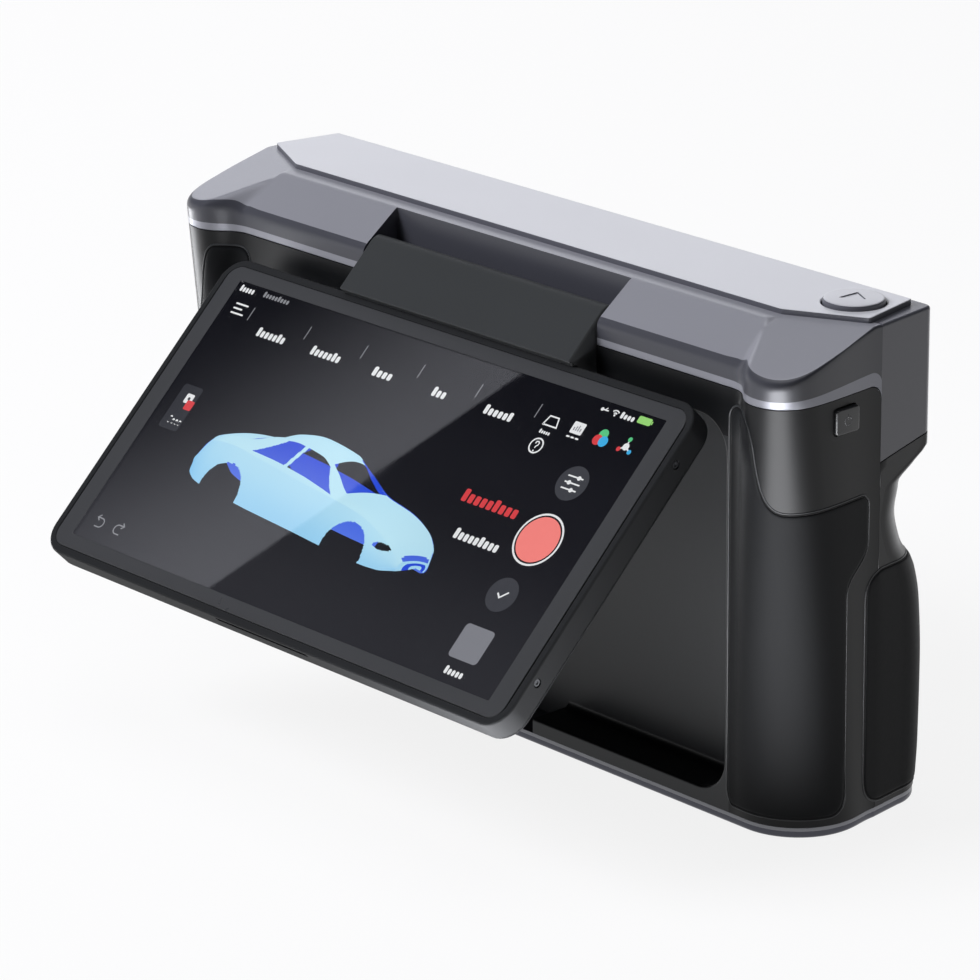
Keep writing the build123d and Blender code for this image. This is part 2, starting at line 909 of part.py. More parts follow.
def screen_back():
    narrow_w = frame_half_w - back_depth
    narrow_h = frame_half_h - back_depth
    narrow = screen_outline(narrow_w, narrow_h, frame_round - back_wall)
    wide = Plane.XZ.offset(-frame_back_y) * frame_outline()
    shell = loft([wide, Plane.XZ.offset(-screen_back_y) * narrow])
    room = screen_outline(narrow_w - back_wall, narrow_h - back_wall, frame_round - 2 * back_wall)
    return shell - along_y(room, frame_back_y, screen_back_y - back_wall)


def main_board():
    return block(-board_half_w, board_half_w, board_y, board_y + board_thick, board_low, board_high)


def heat_spreader():
    start = board_y + board_thick
    half = board_half_w - spreader_inset
    low = board_low + spreader_margin
    return block(-half, half, start, start + spreader_thick, low, board_high - spreader_margin)


def battery_pack():
    front = waist_depth - wall - battery_pad
    half = half_width - swell_inner_inset - battery_side_gap
    low = base_thick + battery_foot_gap
    high = chin_z - battery_head_gap
    outline = Pos(0, (low + high) / 2) * RectangleRounded(2 * half, high - low, battery_round)
    return along_y(outline, front - battery_thick, front)


def opened(solid):
    return solid.rotate(hinge_line, -open_angle)


def write_parts():
    os.makedirs("parts", exist_ok=True)
    nodes = {
        "rear_housing": rear_housing(),
        "front_cover": front_cover(),
        "optics_housing": optics_housing(),
        "top_cover": top_cover(),
        "top_plate": top_plate(),
        "base_plate": base_plate(),
        "tripod_socket": tripod_socket(),
        "base_screws": base_screws(),
        "lens_window": lens_window(),
        "optics_frame": optics_frame(),
        "main_board": main_board(),
        "heat_spreader": heat_spreader(),
        "battery_pack": battery_pack(),
        "usb_port": usb_port(),
        "power_button": power_button(),
        "power_switch": power_switch(),
        "scan_button": scan_button(),
        "scan_switch": scan_switch(),
        "switch_carrier": switch_carrier(),
        "cover_glass": opened(cover_glass()),
        "display_panel": opened(display_panel()),
        "display_driver": opened(display_driver()),
        "screen_frame": opened(screen_frame()),
        "screen_back": opened(screen_back()),
        "screen_screws": opened(screen_screws()),
        "hinge_bracket": opened(hinge_bracket()),
    }
    pairs = {
        "rear_grip": rear_grip(),
        "front_grip": front_grip(),
        "hinge_mount": hinge_mount(),
        "hinge_shaft": hinge_shaft(),
    }
    for name, solid in pairs.items():
        nodes[name + "_right"] = solid
        nodes[name + "_left"] = flipped(solid)
    for x, radius, name in lens_spots():
        nodes[name] = lens_module(x, radius)
    for x, radius, name in lamp_spots():
        nodes[name] = fill_light(x)
    for name, solid in nodes.items():
        export_step(solid, "parts/" + name + ".step")


write_parts()
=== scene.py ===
import json
import math
import bpy
import bmesh
import numpy as np
from mathutils import Matrix, Vector, geometry


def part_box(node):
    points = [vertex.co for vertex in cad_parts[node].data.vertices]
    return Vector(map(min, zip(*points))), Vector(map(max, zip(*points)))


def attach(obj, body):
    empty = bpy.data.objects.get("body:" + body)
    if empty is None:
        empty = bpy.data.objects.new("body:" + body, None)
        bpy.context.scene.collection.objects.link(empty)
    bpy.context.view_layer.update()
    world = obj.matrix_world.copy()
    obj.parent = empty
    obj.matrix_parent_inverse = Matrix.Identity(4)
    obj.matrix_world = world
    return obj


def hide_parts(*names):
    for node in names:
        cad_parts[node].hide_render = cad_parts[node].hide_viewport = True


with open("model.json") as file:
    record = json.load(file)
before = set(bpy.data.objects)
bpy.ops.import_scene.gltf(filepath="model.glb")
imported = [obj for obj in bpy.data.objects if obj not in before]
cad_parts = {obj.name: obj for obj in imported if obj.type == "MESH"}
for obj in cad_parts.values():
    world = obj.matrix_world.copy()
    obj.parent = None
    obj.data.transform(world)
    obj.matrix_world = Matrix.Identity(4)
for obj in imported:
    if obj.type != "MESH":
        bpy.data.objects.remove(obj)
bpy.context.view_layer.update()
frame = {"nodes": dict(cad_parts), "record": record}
mm = 0.001  # every size below is in millimetres


# Small tools for shapes

def mix(a, b, share):
    return a + (b - a) * share


def smoothStep(x):
    x = np.clip(x, 0.0, 1.0)
    return x * x * (3 - 2 * x)


def cubic(a, b, c, d, t):
    s = 1 - t
    return s ** 3 * a + 3 * s * s * t * b + 3 * s * t * t * c + t ** 3 * d


def circle(steps):
    return [(math.cos(a), math.sin(a)) for a in np.linspace(0, 2 * math.pi, steps, endpoint=False)]


def quarter(steps):
    # shares of a rounded edge's radius: how far in, and how far below the top
    turns = [math.radians(angle) for angle in np.linspace(0, 90, steps)]
    return [(1 - math.cos(a), 1 - math.sin(a)) for a in turns]


def loftRings(rings, closeRing=True, capStart=True, capEnd=True, closeLoft=False):
    points = [tuple(p) for ring in rings for p in ring]
    count = len(rings[0])
    faces = []
    for r in range(len(rings) if closeLoft else len(rings) - 1):
        low = r * count
        high = ((r + 1) % len(rings)) * count
        for c in range(count if closeRing else count - 1):
            d = (c + 1) % count
            faces.append((low + c, low + d, high + d, high + c))
    if capStart:
        faces.append(tuple(range(count))[::-1])
    if capEnd:
        faces.append(tuple(range((len(rings) - 1) * count, len(rings) * count)))
    return points, faces


def makePiece(name, points, faces, material, sharp=35.0, merge=True):
    work = bmesh.new()
    corners = [work.verts.new(Vector(p) * mm) for p in points]
    for face in faces:
        try:
            work.faces.new([corners[i] for i in face])
        except ValueError:
            continue
    if merge:
        bmesh.ops.remove_doubles(work, verts=work.verts, dist=0.001 * mm)
        bmesh.ops.dissolve_degenerate(work, dist=0.0005 * mm, edges=work.edges)
    bmesh.ops.recalc_face_normals(work, faces=work.faces)
    mesh = bpy.data.meshes.new(name)
    work.to_mesh(mesh)
    work.free()
    mesh.materials.append(material)
    piece = bpy.data.objects.new(name, mesh)
    bpy.context.scene.collection.objects.link(piece)
    softenNormals(piece, sharp)
    return piece


def softenNormals(piece, sharp):
    piece.data.polygons.foreach_set("use_smooth", [True] * len(piece.data.polygons))
    piece.data.set_sharp_from_angle(angle=math.radians(sharp))


def tint(piece, material, chosen):
    # gives the chosen faces a second finish
    piece.data.materials.append(material)
    last = len(piece.data.materials) - 1
    for face in piece.data.polygons:
        if chosen(face.center / mm, face.normal):
            face.material_index = last


def settle(piece):
    # turns the live modifiers into a plain mesh
    graph = bpy.context.evaluated_depsgraph_get()
    mesh = bpy.data.meshes.new_from_object(piece.evaluated_get(graph))
    old = piece.data
    piece.modifiers.clear()
    piece.data = mesh
    mesh.name = piece.name
    bpy.data.meshes.remove(old)


def giveThickness(piece, thickness):
    # an open sheet becomes a thin closed skin, inwards from its face
    solid = piece.modifiers.new("thickness", "SOLIDIFY")
    solid.thickness = thickness * mm
    solid.offset = -1
    settle(piece)


def cutAway(piece, cutters, sharp=35.0):
    for cutter in cutters:
        cut = piece.modifiers.new("cut", "BOOLEAN")
        cut.operation = "DIFFERENCE"
        cut.solver = "EXACT"
        cut.object = cutter
    settle(piece)
    for cutter in cutters:
        bpy.data.objects.remove(cutter)
    softenNormals(piece, sharp)
    weighted = piece.modifiers.new("evenFaces", "WEIGHTED_NORMAL")
    weighted.keep_sharp = True
    settle(piece)


def place(piece, bodyName, slotName, *nodes):
    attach(piece, bodyName)
    if nodes:
        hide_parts(*nodes)
    return piece


def roundedRect(halfW, halfH, radius, steps=8):
    ring = []
    for turn, (sx, sy) in enumerate(((1, 1), (-1, 1), (-1, -1), (1, -1))):
        for k in range(steps + 1):
            angle = math.radians(90 * turn + 90 * k / steps)
            ring.append((sx * (halfW - radius) + radius * math.cos(angle),
                sy * (halfH - radius) + radius * math.sin(angle)))
    return np.array(ring)


def insetLine(line, distance, closed=True):
    # moves a plan line to its left by the distance, so that a counter-clockwise outline shrinks
    line = np.asarray(line, float)
    if closed:
        ahead = np.roll(line, -1, 0) - line
        behind = line - np.roll(line, 1, 0)
    else:
        ahead = np.vstack([line[1:] - line[:-1], line[-1:] - line[-2:-1]])
        behind = np.vstack([line[1:2] - line[:1], line[1:] - line[:-1]])
    def leftOf(step):
        length = np.maximum(np.hypot(step[:, 0], step[:, 1]), 1e-9)[:, None]
        return np.stack([-step[:, 1], step[:, 0]], 1) / length
    a, b = leftOf(ahead), leftOf(behind)
    bisector = a + b
    stretch = np.maximum(np.sum(bisector * a, 1), 0.4)[:, None]
    return line + distance * bisector / stretch


def insideOf(points, outline):
    points = np.asarray(points, float)
    inside = np.zeros(len(points), bool)
    x, y = points[:, 0], points[:, 1]
    for (x0, y0), (x1, y1) in zip(outline, np.roll(outline, -1, 0)):
        crosses = (y0 > y) != (y1 > y)
        if y1 != y0:
            inside ^= crosses & (x < (x1 - x0) * (y - y0) / (y1 - y0) + x0)
    return inside


def fillFlat(outer, holes=(), extra=()):
    # triangles that fill a flat outline with holes; the points come back in the order given
    loops = [np.asarray(outer, float)] + [np.asarray(hole, float) for hole in holes]
    points, edges = [], []
    for loop in loops:
        start = len(points)
        points += [Vector((float(p[0]), float(p[1]))) for p in loop]
        edges += [(start + k, start + (k + 1) % len(loop)) for k in range(len(loop))]
    points += [Vector((float(p[0]), float(p[1]))) for p in extra]
    made = geometry.delaunay_2d_cdt(points, edges, [], 0, 1e-6)
    flat = np.array([(p[0], p[1]) for p in made[0]])
    triangles = [tuple(face) for face in made[2]]
    centres = np.array([flat[list(face)].mean(0) for face in triangles])
    keep = insideOf(centres, loops[0])
    for hole in loops[1:]:
        keep &= ~insideOf(centres, hole)
    return flat, [face for face, ok in zip(triangles, keep) if ok]


def resample(line, spacing):
    line = np.asarray(line, float)
    loop = np.vstack([line, line[:1]])
    run = np.concatenate([[0], np.cumsum(np.hypot(*(loop[1:] - loop[:-1]).T))])
    count = max(int(run[-1] / spacing), 8)
    at = np.linspace(0, run[-1], count, endpoint=False)
    return np.stack([np.interp(at, run, loop[:, 0]), np.interp(at, run, loop[:, 1])], 1)


def roundCorners(corners, steps=7):
    # corners are (x, y, radius); a radius of 0 keeps the corner
    line = []
    count = len(corners)
    for k, (x, y, radius) in enumerate(corners):
        here = np.array((x, y))
        if radius == 0:
            line.append(here)
            continue
        before = np.array(corners[k - 1][:2]) - here
        after = np.array(corners[(k + 1) % count][:2]) - here
        a = here + before / np.linalg.norm(before) * radius
        b = here + after / np.linalg.norm(after) * radius
        for t in np.linspace(0, 1, steps):
            line.append((1 - t) ** 2 * a + 2 * t * (1 - t) * here + t * t * b)
    return np.array(line)


# Materials

def linearColour(code):
    channels = [int(code[k:k + 2], 16) / 255 for k in (1, 3, 5)]
    return tuple(c / 12.92 if c <= 0.04045 else ((c + 0.055) / 1.055) ** 2.4 for c in channels) + (1.0,)


def perMetre(sizeMm):
    return 1000.0 / sizeMm


def addNode(tree, kind, inputs=None, **settings):
    node = tree.nodes.new(kind)
    for key, value in settings.items():
        setattr(node, key, value)
    for key, value in (inputs or {}).items():
        if isinstance(value, bpy.types.NodeSocket):
            tree.links.new(value, node.inputs[key])
        else:
            node.inputs[key].default_value = value
    return node


# The usual moulded or painted skin; each finish names only what differs from it
usualSkin = {"grainMm": 0.5, "cloudMm": 45.0, "bump": 0.04, "depthMm": 0.015, "metallic": 0.0, "ior": 1.5,
    "specular": 0.5, "spread": 0.06}


def startMaterial(name):
    material = bpy.data.materials.new(name)
    material.use_nodes = True
    material.node_tree.nodes.clear()
    return material, material.node_tree


def mouldedPlastic(name, look):
    # spark-eroded mould grain breaks the gloss; broad cloudiness keeps the colour from looking poured
    look = {**usualSkin, **look}
    material, tree = startMaterial(name)
    spot = addNode(tree, "ShaderNodeTexCoord").outputs["Object"]
    grain = addNode(tree, "ShaderNodeTexNoise", {"Vector": spot, "Scale": perMetre(look["grainMm"]), "Detail": 3.0,
        "Roughness": 0.6})
    cloud = addNode(tree, "ShaderNodeTexNoise", {"Vector": spot, "Scale": perMetre(look["cloudMm"]), "Detail": 2.0})
    hue = addNode(tree, "ShaderNodeMix", {"Factor": cloud.outputs["Fac"], "A": linearColour(look["dark"]),
        "B": linearColour(look["light"])}, data_type="RGBA")
    rough = addNode(tree, "ShaderNodeMapRange", {"Value": grain.outputs["Fac"],
        "To Min": look["rough"] - look["spread"], "To Max": look["rough"] + look["spread"]})
    bump = addNode(tree, "ShaderNodeBump", {"Height": grain.outputs["Fac"], "Strength": look["bump"],
        "Distance": look["depthMm"] * mm})
    shader = addNode(tree, "ShaderNodeBsdfPrincipled", {
        "Base Color": hue.outputs["Result"], "Roughness": rough.outputs["Result"], "Normal": bump.outputs["Normal"],
        "Metallic": look["metallic"], "IOR": look["ior"], "Specular IOR Level": look["specular"]})
    addNode(tree, "ShaderNodeOutputMaterial", {"Surface": shader.outputs["BSDF"]})
    return material


def turnedMetal(name, look):
    # a slight haze that varies the gloss and the shade, so the highlight is uneven
    material, tree = startMaterial(name)
    spot = addNode(tree, "ShaderNodeTexCoord").outputs["Object"]
    haze = addNode(tree, "ShaderNodeTexNoise", {"Vector": spot, "Scale": perMetre(look["grainMm"]), "Detail": 4.0})
    rough = addNode(tree, "ShaderNodeMapRange", {"Value": haze.outputs["Fac"], "To Min": look["rough"] - 0.08,
        "To Max": look["rough"] + 0.1})
    hue = addNode(tree, "ShaderNodeMix", {"Factor": haze.outputs["Fac"], "A": linearColour(look["dark"]),
        "B": linearColour(look["light"])}, data_type="RGBA")
    bump = addNode(tree, "ShaderNodeBump", {"Height": haze.outputs["Fac"], "Strength": 0.15, "Distance": 0.02 * mm})
    shader = addNode(tree, "ShaderNodeBsdfPrincipled", {"Base Color": hue.outputs["Result"],
        "Roughness": rough.outputs["Result"], "Normal": bump.outputs["Normal"], "Metallic": 1.0})
    addNode(tree, "ShaderNodeOutputMaterial", {"Surface": shader.outputs["BSDF"]})
    return material


# Black ABS housing, moulded with a fine even grain: dull black with a soft sheen on the corners
blackAbs = mouldedPlastic("blackAbsGrained", {"dark": "#0f1012", "light": "#131416", "rough": 0.38, "grainMm": 0.55,
    "cloudMm": 30.0, "bump": 0.1, "depthMm": 0.03, "specular": 0.2})
# Silver paint on the raised plate: satin, pale, with fine flake that only just sparkles
silverPaint = mouldedPlastic("silverSatinPaint", {"dark": "#c8c9d0", "light": "#cecfd6", "rough": 0.42,
    "metallic": 0.25})
# Grey paint on the cover around it: a darker satin with the same flake
greyPaint = mouldedPlastic("greySatinPaint", {"dark": "#8d8e97", "light": "#95969f", "rough": 0.38, "metallic": 0.25})
# Dark grey paint on the optics housing, a satin that takes a soft edge of light; on the upright edges of the top plate
# and the scan key the same grey is painted shade
slateAndShadePaint = mouldedPlastic("slateSatinPaintAndShade", {"dark": "#52535c", "light": "#595a63", "rough": 0.36, "metallic": 0.05})
# The cover's upright band and the notch walls: painted shade, a darker grey than the top that stands in for the shade
# on upright faces; its corners still carry the light
shadedBandPaint = mouldedPlastic("bandPaintedShade", {"dark": "#3f4048", "light": "#45464e", "rough": 0.34, "metallic": 0.05})
# Overmoulded grip rubber: matt, slightly dusty, with a fine pebbled skin (drawn at 0.8 mm so that it shows)
gripRubber = mouldedPlastic("gripRubberPebbled", {"dark": "#141517", "light": "#191a1c", "rough": 0.55, "grainMm": 0.8,
    "cloudMm": 25.0, "bump": 0.25, "depthMm": 0.05, "specular": 0.08})
# Dark matt coating on the hinge bracket: even, with a broad soft highlight along its bend
bracketCoat = mouldedPlastic("bracketMattCoat", {"dark": "#303234", "light": "#343638", "rough": 0.5, "cloudMm": 35.0,
    "bump": 0.08, "depthMm": 0.02, "specular": 0.45})
# Screen frame, satin black paint over a metal-filled moulding: almost no sheen
frameCoat = mouldedPlastic("frameSatinCoat", {"dark": "#232426", "light": "#28292b", "rough": 0.58, "grainMm": 0.45,
    "cloudMm": 30.0, "bump": 0.05, "specular": 0.1})
# Anodised trim round the base: dark; the cool bright line along its rounded edge is a painted highlight, a paler second
# finish on its upward faces
baseTrimFinish = mouldedPlastic("baseTrimSatin", {"dark": "#4a4b53", "light": "#50515a", "rough": 0.3, "cloudMm": 40.0,
    "bump": 0.03, "depthMm": 0.01, "metallic": 0.7})
# Floor of the screen's pocket: the same moulding with a finer satin, a little lighter than the housing round it; on the
# lips round the grips this lighter grey is a painted highlight
pocketSatinAndLipHighlight = mouldedPlastic("pocketSatinAbs", {"dark": "#2c2e31", "light": "#323437", "rough": 0.42, "cloudMm": 40.0,
    "bump": 0.06, "depthMm": 0.02, "specular": 0.32})
# Dull black inside gaps and behind the glass, which should read as depth
gapBlack = mouldedPlastic("gapBlackMatt", {"dark": "#050506", "light": "#08080a", "rough": 0.8, "grainMm": 0.6,
    "cloudMm": 20.0, "bump": 0.05, "depthMm": 0.01, "specular": 0.2})
# Black anodised lens barrels: deep black with thin bright rings at the steps
lensBlack = mouldedPlastic("lensBlackAnodised", {"dark": "#0e0e10", "light": "#131316", "rough": 0.35, "grainMm": 0.4,
    "cloudMm": 10.0, "bump": 0.06, "depthMm": 0.01})
# Acetal of the switches and inner clips, waxy and dark
switchAcetal = mouldedPlastic("switchAcetal", {"dark": "#2a2a2c", "light": "#343436", "rough": 0.45, "grainMm": 0.6,
    "cloudMm": 12.0, "bump": 0.06, "depthMm": 0.02})
# Solder-masked circuit board, green with a slight ripple over the tracks
boardMask = mouldedPlastic("boardSolderMask", {"dark": "#10351f", "light": "#164528", "rough": 0.4, "grainMm": 1.2,
    "cloudMm": 8.0, "bump": 0.1, "depthMm": 0.03})
# Metals: blackened screws that only glint, a dull grey casting, warm brass and a bright pressed dish
steel = turnedMetal("screwSteelBlackened", {"dark": "#3a3b3d", "light": "#4a4b4d", "rough": 0.35, "grainMm": 0.6})
alloy = turnedMetal("castAlloy", {"dark": "#8b8d90", "light": "#9a9c9f", "rough": 0.45, "grainMm": 0.8})
brass = turnedMetal("turnedBrass", {"dark": "#a8873f", "light": "#b8964a", "rough": 0.3, "grainMm": 0.5})
# Painted scan key, the plate's silver but a touch darker and smoother from use; the same finish is the painted
# highlight along the base trim's upper edge
keyPaintAndHighlight = mouldedPlastic("keySilverPaintAndHighlight", {"dark": "#b2b3ba", "light": "#babbc2", "rough": 0.34, "cloudMm": 6.0,
    "bump": 0.03, "depthMm": 0.01, "metallic": 0.25})
# Power key: dark satin paint, with a printed sign a little lighter
powerPaint = mouldedPlastic("powerKeyPaint", {"dark": "#222326", "light": "#27282b", "rough": 0.34, "grainMm": 0.4,
    "cloudMm": 4.0, "bump": 0.03, "depthMm": 0.01})
powerPrint = mouldedPlastic("powerKeyPrint", {"dark": "#4c4d51", "light": "#525357", "rough": 0.5, "grainMm": 0.3,
    "cloudMm": 2.0, "bump": 0.02, "depthMm": 0.005})
# Border printed on the cover glass: dark grey ink under a satin surface, with the faint unevenness of wiped glass
borderInk = mouldedPlastic("glassBorderInk", {"dark": "#393a3d", "light": "#3e3f42", "rough": 0.3, "grainMm": 9.0,
    "cloudMm": 30.0, "bump": 0.01, "depthMm": 0.005})
# Window over the optics: smoked acrylic, deep black and glossy
windowGloss = mouldedPlastic("windowSmokedAcrylic", {"dark": "#060607", "light": "#0a0a0c", "rough": 0.12,
    "grainMm": 12.0, "cloudMm": 40.0, "bump": 0.01, "depthMm": 0.005, "ior": 1.49})
# Frosted polycarbonate over the fill lamps, milky and pale, and the pressed reflector round it
lampDiffuser = mouldedPlastic("lampFrostedPolycarbonate",
    {"dark": "#d9d6c6", "light": "#e6e3d4", "rough": 0.5, "grainMm": 0.4, "cloudMm": 2.0, "bump": 0.1, "depthMm": 0.02,
        "ior": 1.58})
lampReflector = turnedMetal("lampPressedReflector", {"dark": "#a9abae", "light": "#b9bbbe", "rough": 0.28,
    "grainMm": 0.6})


def polishedGlass(name, look):
    # wiped glass: clear, with a faint haze of finger marks in the gloss
    material, tree = startMaterial(name)
    spot = addNode(tree, "ShaderNodeTexCoord").outputs["Object"]
    smear = addNode(tree, "ShaderNodeTexNoise", {"Vector": spot, "Scale": perMetre(look["smearMm"]), "Detail": 3.0,
        "Distortion": 0.6})
    rough = addNode(tree, "ShaderNodeMapRange", {"Value": smear.outputs["Fac"], "From Min": 0.35, "From Max": 0.75,
        "To Min": look["rough"], "To Max": look["rough"] + 0.03})
    shader = addNode(tree, "ShaderNodeBsdfPrincipled", {
        "Base Color": linearColour(look["tint"]), "Roughness": rough.outputs["Result"], "IOR": look["ior"],
        "Transmission Weight": 1.0})
    addNode(tree, "ShaderNodeOutputMaterial", {"Surface": shader.outputs["BSDF"]})
    return material


def coatedLens(name, look):
    # dark glass whose coating turns from one tint to another towards the rim
    material, tree = startMaterial(name)
    spot = addNode(tree, "ShaderNodeTexCoord").outputs["Object"]
    rim = addNode(tree, "ShaderNodeLayerWeight", {"Blend": 0.35})
    dust = addNode(tree, "ShaderNodeTexNoise", {"Vector": spot, "Scale": perMetre(0.8), "Detail": 2.0})
    hue = addNode(tree, "ShaderNodeMix", {"Factor": rim.outputs["Facing"], "A": linearColour(look["middle"]),
        "B": linearColour(look["rim"])}, data_type="RGBA")
    rough = addNode(tree, "ShaderNodeMapRange", {"Value": dust.outputs["Fac"], "To Min": 0.03, "To Max": 0.09})
    shader = addNode(tree, "ShaderNodeBsdfPrincipled", {"Base Color": hue.outputs["Result"],
        "Roughness": rough.outputs["Result"], "IOR": 1.7})
    addNode(tree, "ShaderNodeOutputMaterial", {"Surface": shader.outputs["BSDF"]})
    return material


def litDisplay(name):
    # backlit panel: the colours come with the mesh, and the light is a few percent uneven as on a real panel
    material, tree = startMaterial(name)
    spot = addNode(tree, "ShaderNodeTexCoord").outputs["Object"]
    drawn = addNode(tree, "ShaderNodeAttribute", attribute_name="glow", attribute_type="GEOMETRY")
    uneven = addNode(tree, "ShaderNodeTexNoise", {"Vector": spot, "Scale": perMetre(35.0), "Detail": 1.0})
    level = addNode(tree, "ShaderNodeMapRange", {"Value": uneven.outputs["Fac"], "To Min": 0.9, "To Max": 1.06})
    shader = addNode(tree, "ShaderNodeBsdfPrincipled", {
        "Base Color": linearColour("#050506"), "Roughness": 0.6, "Specular IOR Level": 0.1,
        "Emission Color": drawn.outputs["Color"], "Emission Strength": level.outputs["Result"]})
    addNode(tree, "ShaderNodeOutputMaterial", {"Surface": shader.outputs["BSDF"]})
    return material


# Toughened cover glass over the display: clear, with a hard reflection
clearGlass = polishedGlass("coverGlassToughened", {"tint": "#fbfcfd", "rough": 0.0, "ior": 1.5, "smearMm": 22.0})
# Coated lens glass: blue to violet on the cameras, amber on the projectors
lensGlass = coatedLens("lensGlassCoated", {"middle": "#070b1c", "rim": "#2a1a4a"})
projectorGlass = coatedLens("projectorGlassCoated", {"middle": "#140a06", "rim": "#4a2a12"})
# The display behind it, which shows only by its own light
displayGlow = litDisplay("displayBacklit")
print("materials ready")


# Body outlines, repeated from the part

plan = {
    "halfWidth": 97.0, "height": 109.0, "faceY": -20.0, "blendStart": 77.0, "seamHalf": 96.0, "partingY": 3.8,
    "crestBase": 82.0, "crestTop": 89.5, "swell": 5.9, "sideBase": -5.0, "sideTop": -16.5,
    "turnBase": 0.55, "turnTop": 0.67, "sideHold": 0.35,
    "frontHalf": 93.7, "frontY": 21.1, "chinZ": 78.5, "chinRise": 2.5,
    "baseZ": 2.4, "bandZ": 95.3, "ledgeZ": 107.8, "groove": 0.15, "seamCorner": 3.2, "seamRun": 5.0,
    "buttonAt": (83.7, 8.2), "keyHole": 6.85, "wellRadius": 7.6, "wellLow": 100.0, "wellHigh": 106.1, "cutHigh": 120.0,
    "cutLow": -5.0,
}
rearRuns = np.cumsum([0.0, plan["blendStart"], 15.0, 19.0, 20.0])  # face, palm swell, corner, side
swellFrom, cornerFrom, sideFrom, rearEnd = rearRuns[1:]
seamFrom = rearEnd - plan["seamRun"]


def rearPoint(s, z):
    s, z = np.broadcast_arrays(np.asarray(s, float), np.asarray(z, float))
    k = z / plan["height"]
    face, wide, start = plan["faceY"], plan["halfWidth"], plan["blendStart"]
    def both(low, high):
        return mix(low, high, k)
    def controls(crest, swell, side, turn):
        top = face - swell
        hold = 0.5 * (crest - start)
        run = plan["sideHold"] * (plan["partingY"] - side)
        swellLine = [(start, face), (start + hold, face), (crest - hold, top), (crest, top)]
        cornerLine = [(crest, top), (crest + turn * (wide - crest), top), (wide, side - turn * (side - top)),
            (wide, side)]
        sideLine = [(wide, side), (wide, side + run), (plan["seamHalf"], plan["partingY"] - run),
            (plan["seamHalf"], plan["partingY"])]
        return swellLine, cornerLine, sideLine
    low = controls(plan["crestBase"], 0.0, plan["sideBase"], plan["turnBase"])
    high = controls(plan["crestTop"], plan["swell"], plan["sideTop"], plan["turnTop"])
    x = np.where(s <= start, s, 0.0)
    y = np.full(s.shape, face)
    for run in range(3):
        t = np.clip((s - rearRuns[run + 1]) / (rearRuns[run + 2] - rearRuns[run + 1]), 0, 1)
        line = [(both(a[0], b[0]), both(a[1], b[1])) for a, b in zip(low[run], high[run])]
        here = s > rearRuns[run + 1]
        x = np.where(here, cubic(*[p[0] for p in line], t), x)
        y = np.where(here, cubic(*[p[1] for p in line], t), y)
    return x, y


def rearAtX(x, z):
    low, high = np.zeros(np.shape(x)), np.full(np.shape(x), sideFrom)
    for _ in range(40):
        middle = (low + high) / 2
        under = rearPoint(middle, z)[0] < x
        low, high = np.where(under, middle, low), np.where(under, high, middle)
    return (low + high) / 2


def rearAtY(y, z):
    low, high = np.full(np.shape(y), cornerFrom), np.full(np.shape(y), rearEnd)
    for _ in range(40):
        middle = (low + high) / 2
        under = rearPoint(middle, z)[1] < y
        low, high = np.where(under, middle, low), np.where(under, high, middle)
    return (low + high) / 2


front = {
    "throat": 14.3, "swell": 24.1, "waist": 15.5, "turn": 10.0, "round": 2.0, "inner": 58.0, "chinInner": 81.7,
    "hold": 0.45, "cornerHold": 0.55,
    "first": 0.3, "edgeStep": 1.5,
    "levels": (0.0, 0.153, 0.382, 0.56, 0.662, 0.752, 0.841, 0.917, 0.962, 1.0, 1.08),
    "reach": (0.85, 0.97, 1.0, 0.91, 0.7, 0.2, 0.0, 0.13, 0.13, 0.13, 0.13),
    "chin": (0.0, 0.0, 0.0, 0.0, 0.0, 0.0, 0.0, 0.0, 0.55, 1.0, 1.0),
}
frontRuns = np.cumsum([0.0, 11.0, 15.0, 26.0, 58.0])  # side, corner, swell, middle
turnFrom, bulgeFrom, middleFrom, frontEnd = frontRuns[1:]


def easeThrough(z, levels, values):
    # smooth line through the levels that never overshoots them
    levels, values = np.asarray(levels, float), np.asarray(values, float)
    step = np.diff(levels)
    rise = np.diff(values) / step
    slope = np.zeros(len(levels))
    for k in range(1, len(levels) - 1):
        if rise[k - 1] * rise[k] > 0:
            a = 2 * step[k] + step[k - 1]
            b = step[k] + 2 * step[k - 1]
            slope[k] = (a + b) / (a / rise[k - 1] + b / rise[k])
    slope[0], slope[-1] = rise[0], rise[-1]
    z = np.clip(z, levels[0], levels[-1])
    k = np.clip(np.searchsorted(levels, z, side="right") - 1, 0, len(step) - 1)
    t = (z - levels[k]) / step[k]
    return ((1 + 2 * t) * (1 - t) ** 2 * values[k] + t * (1 - t) ** 2 * step[k] * slope[k]
            + t * t * (3 - 2 * t) * values[k + 1] + t * t * (t - 1) * step[k] * slope[k + 1])


def sideAt(y):
    return mix(plan["seamHalf"], plan["frontHalf"], (y - plan["partingY"]) / (plan["frontY"] - plan["partingY"]))


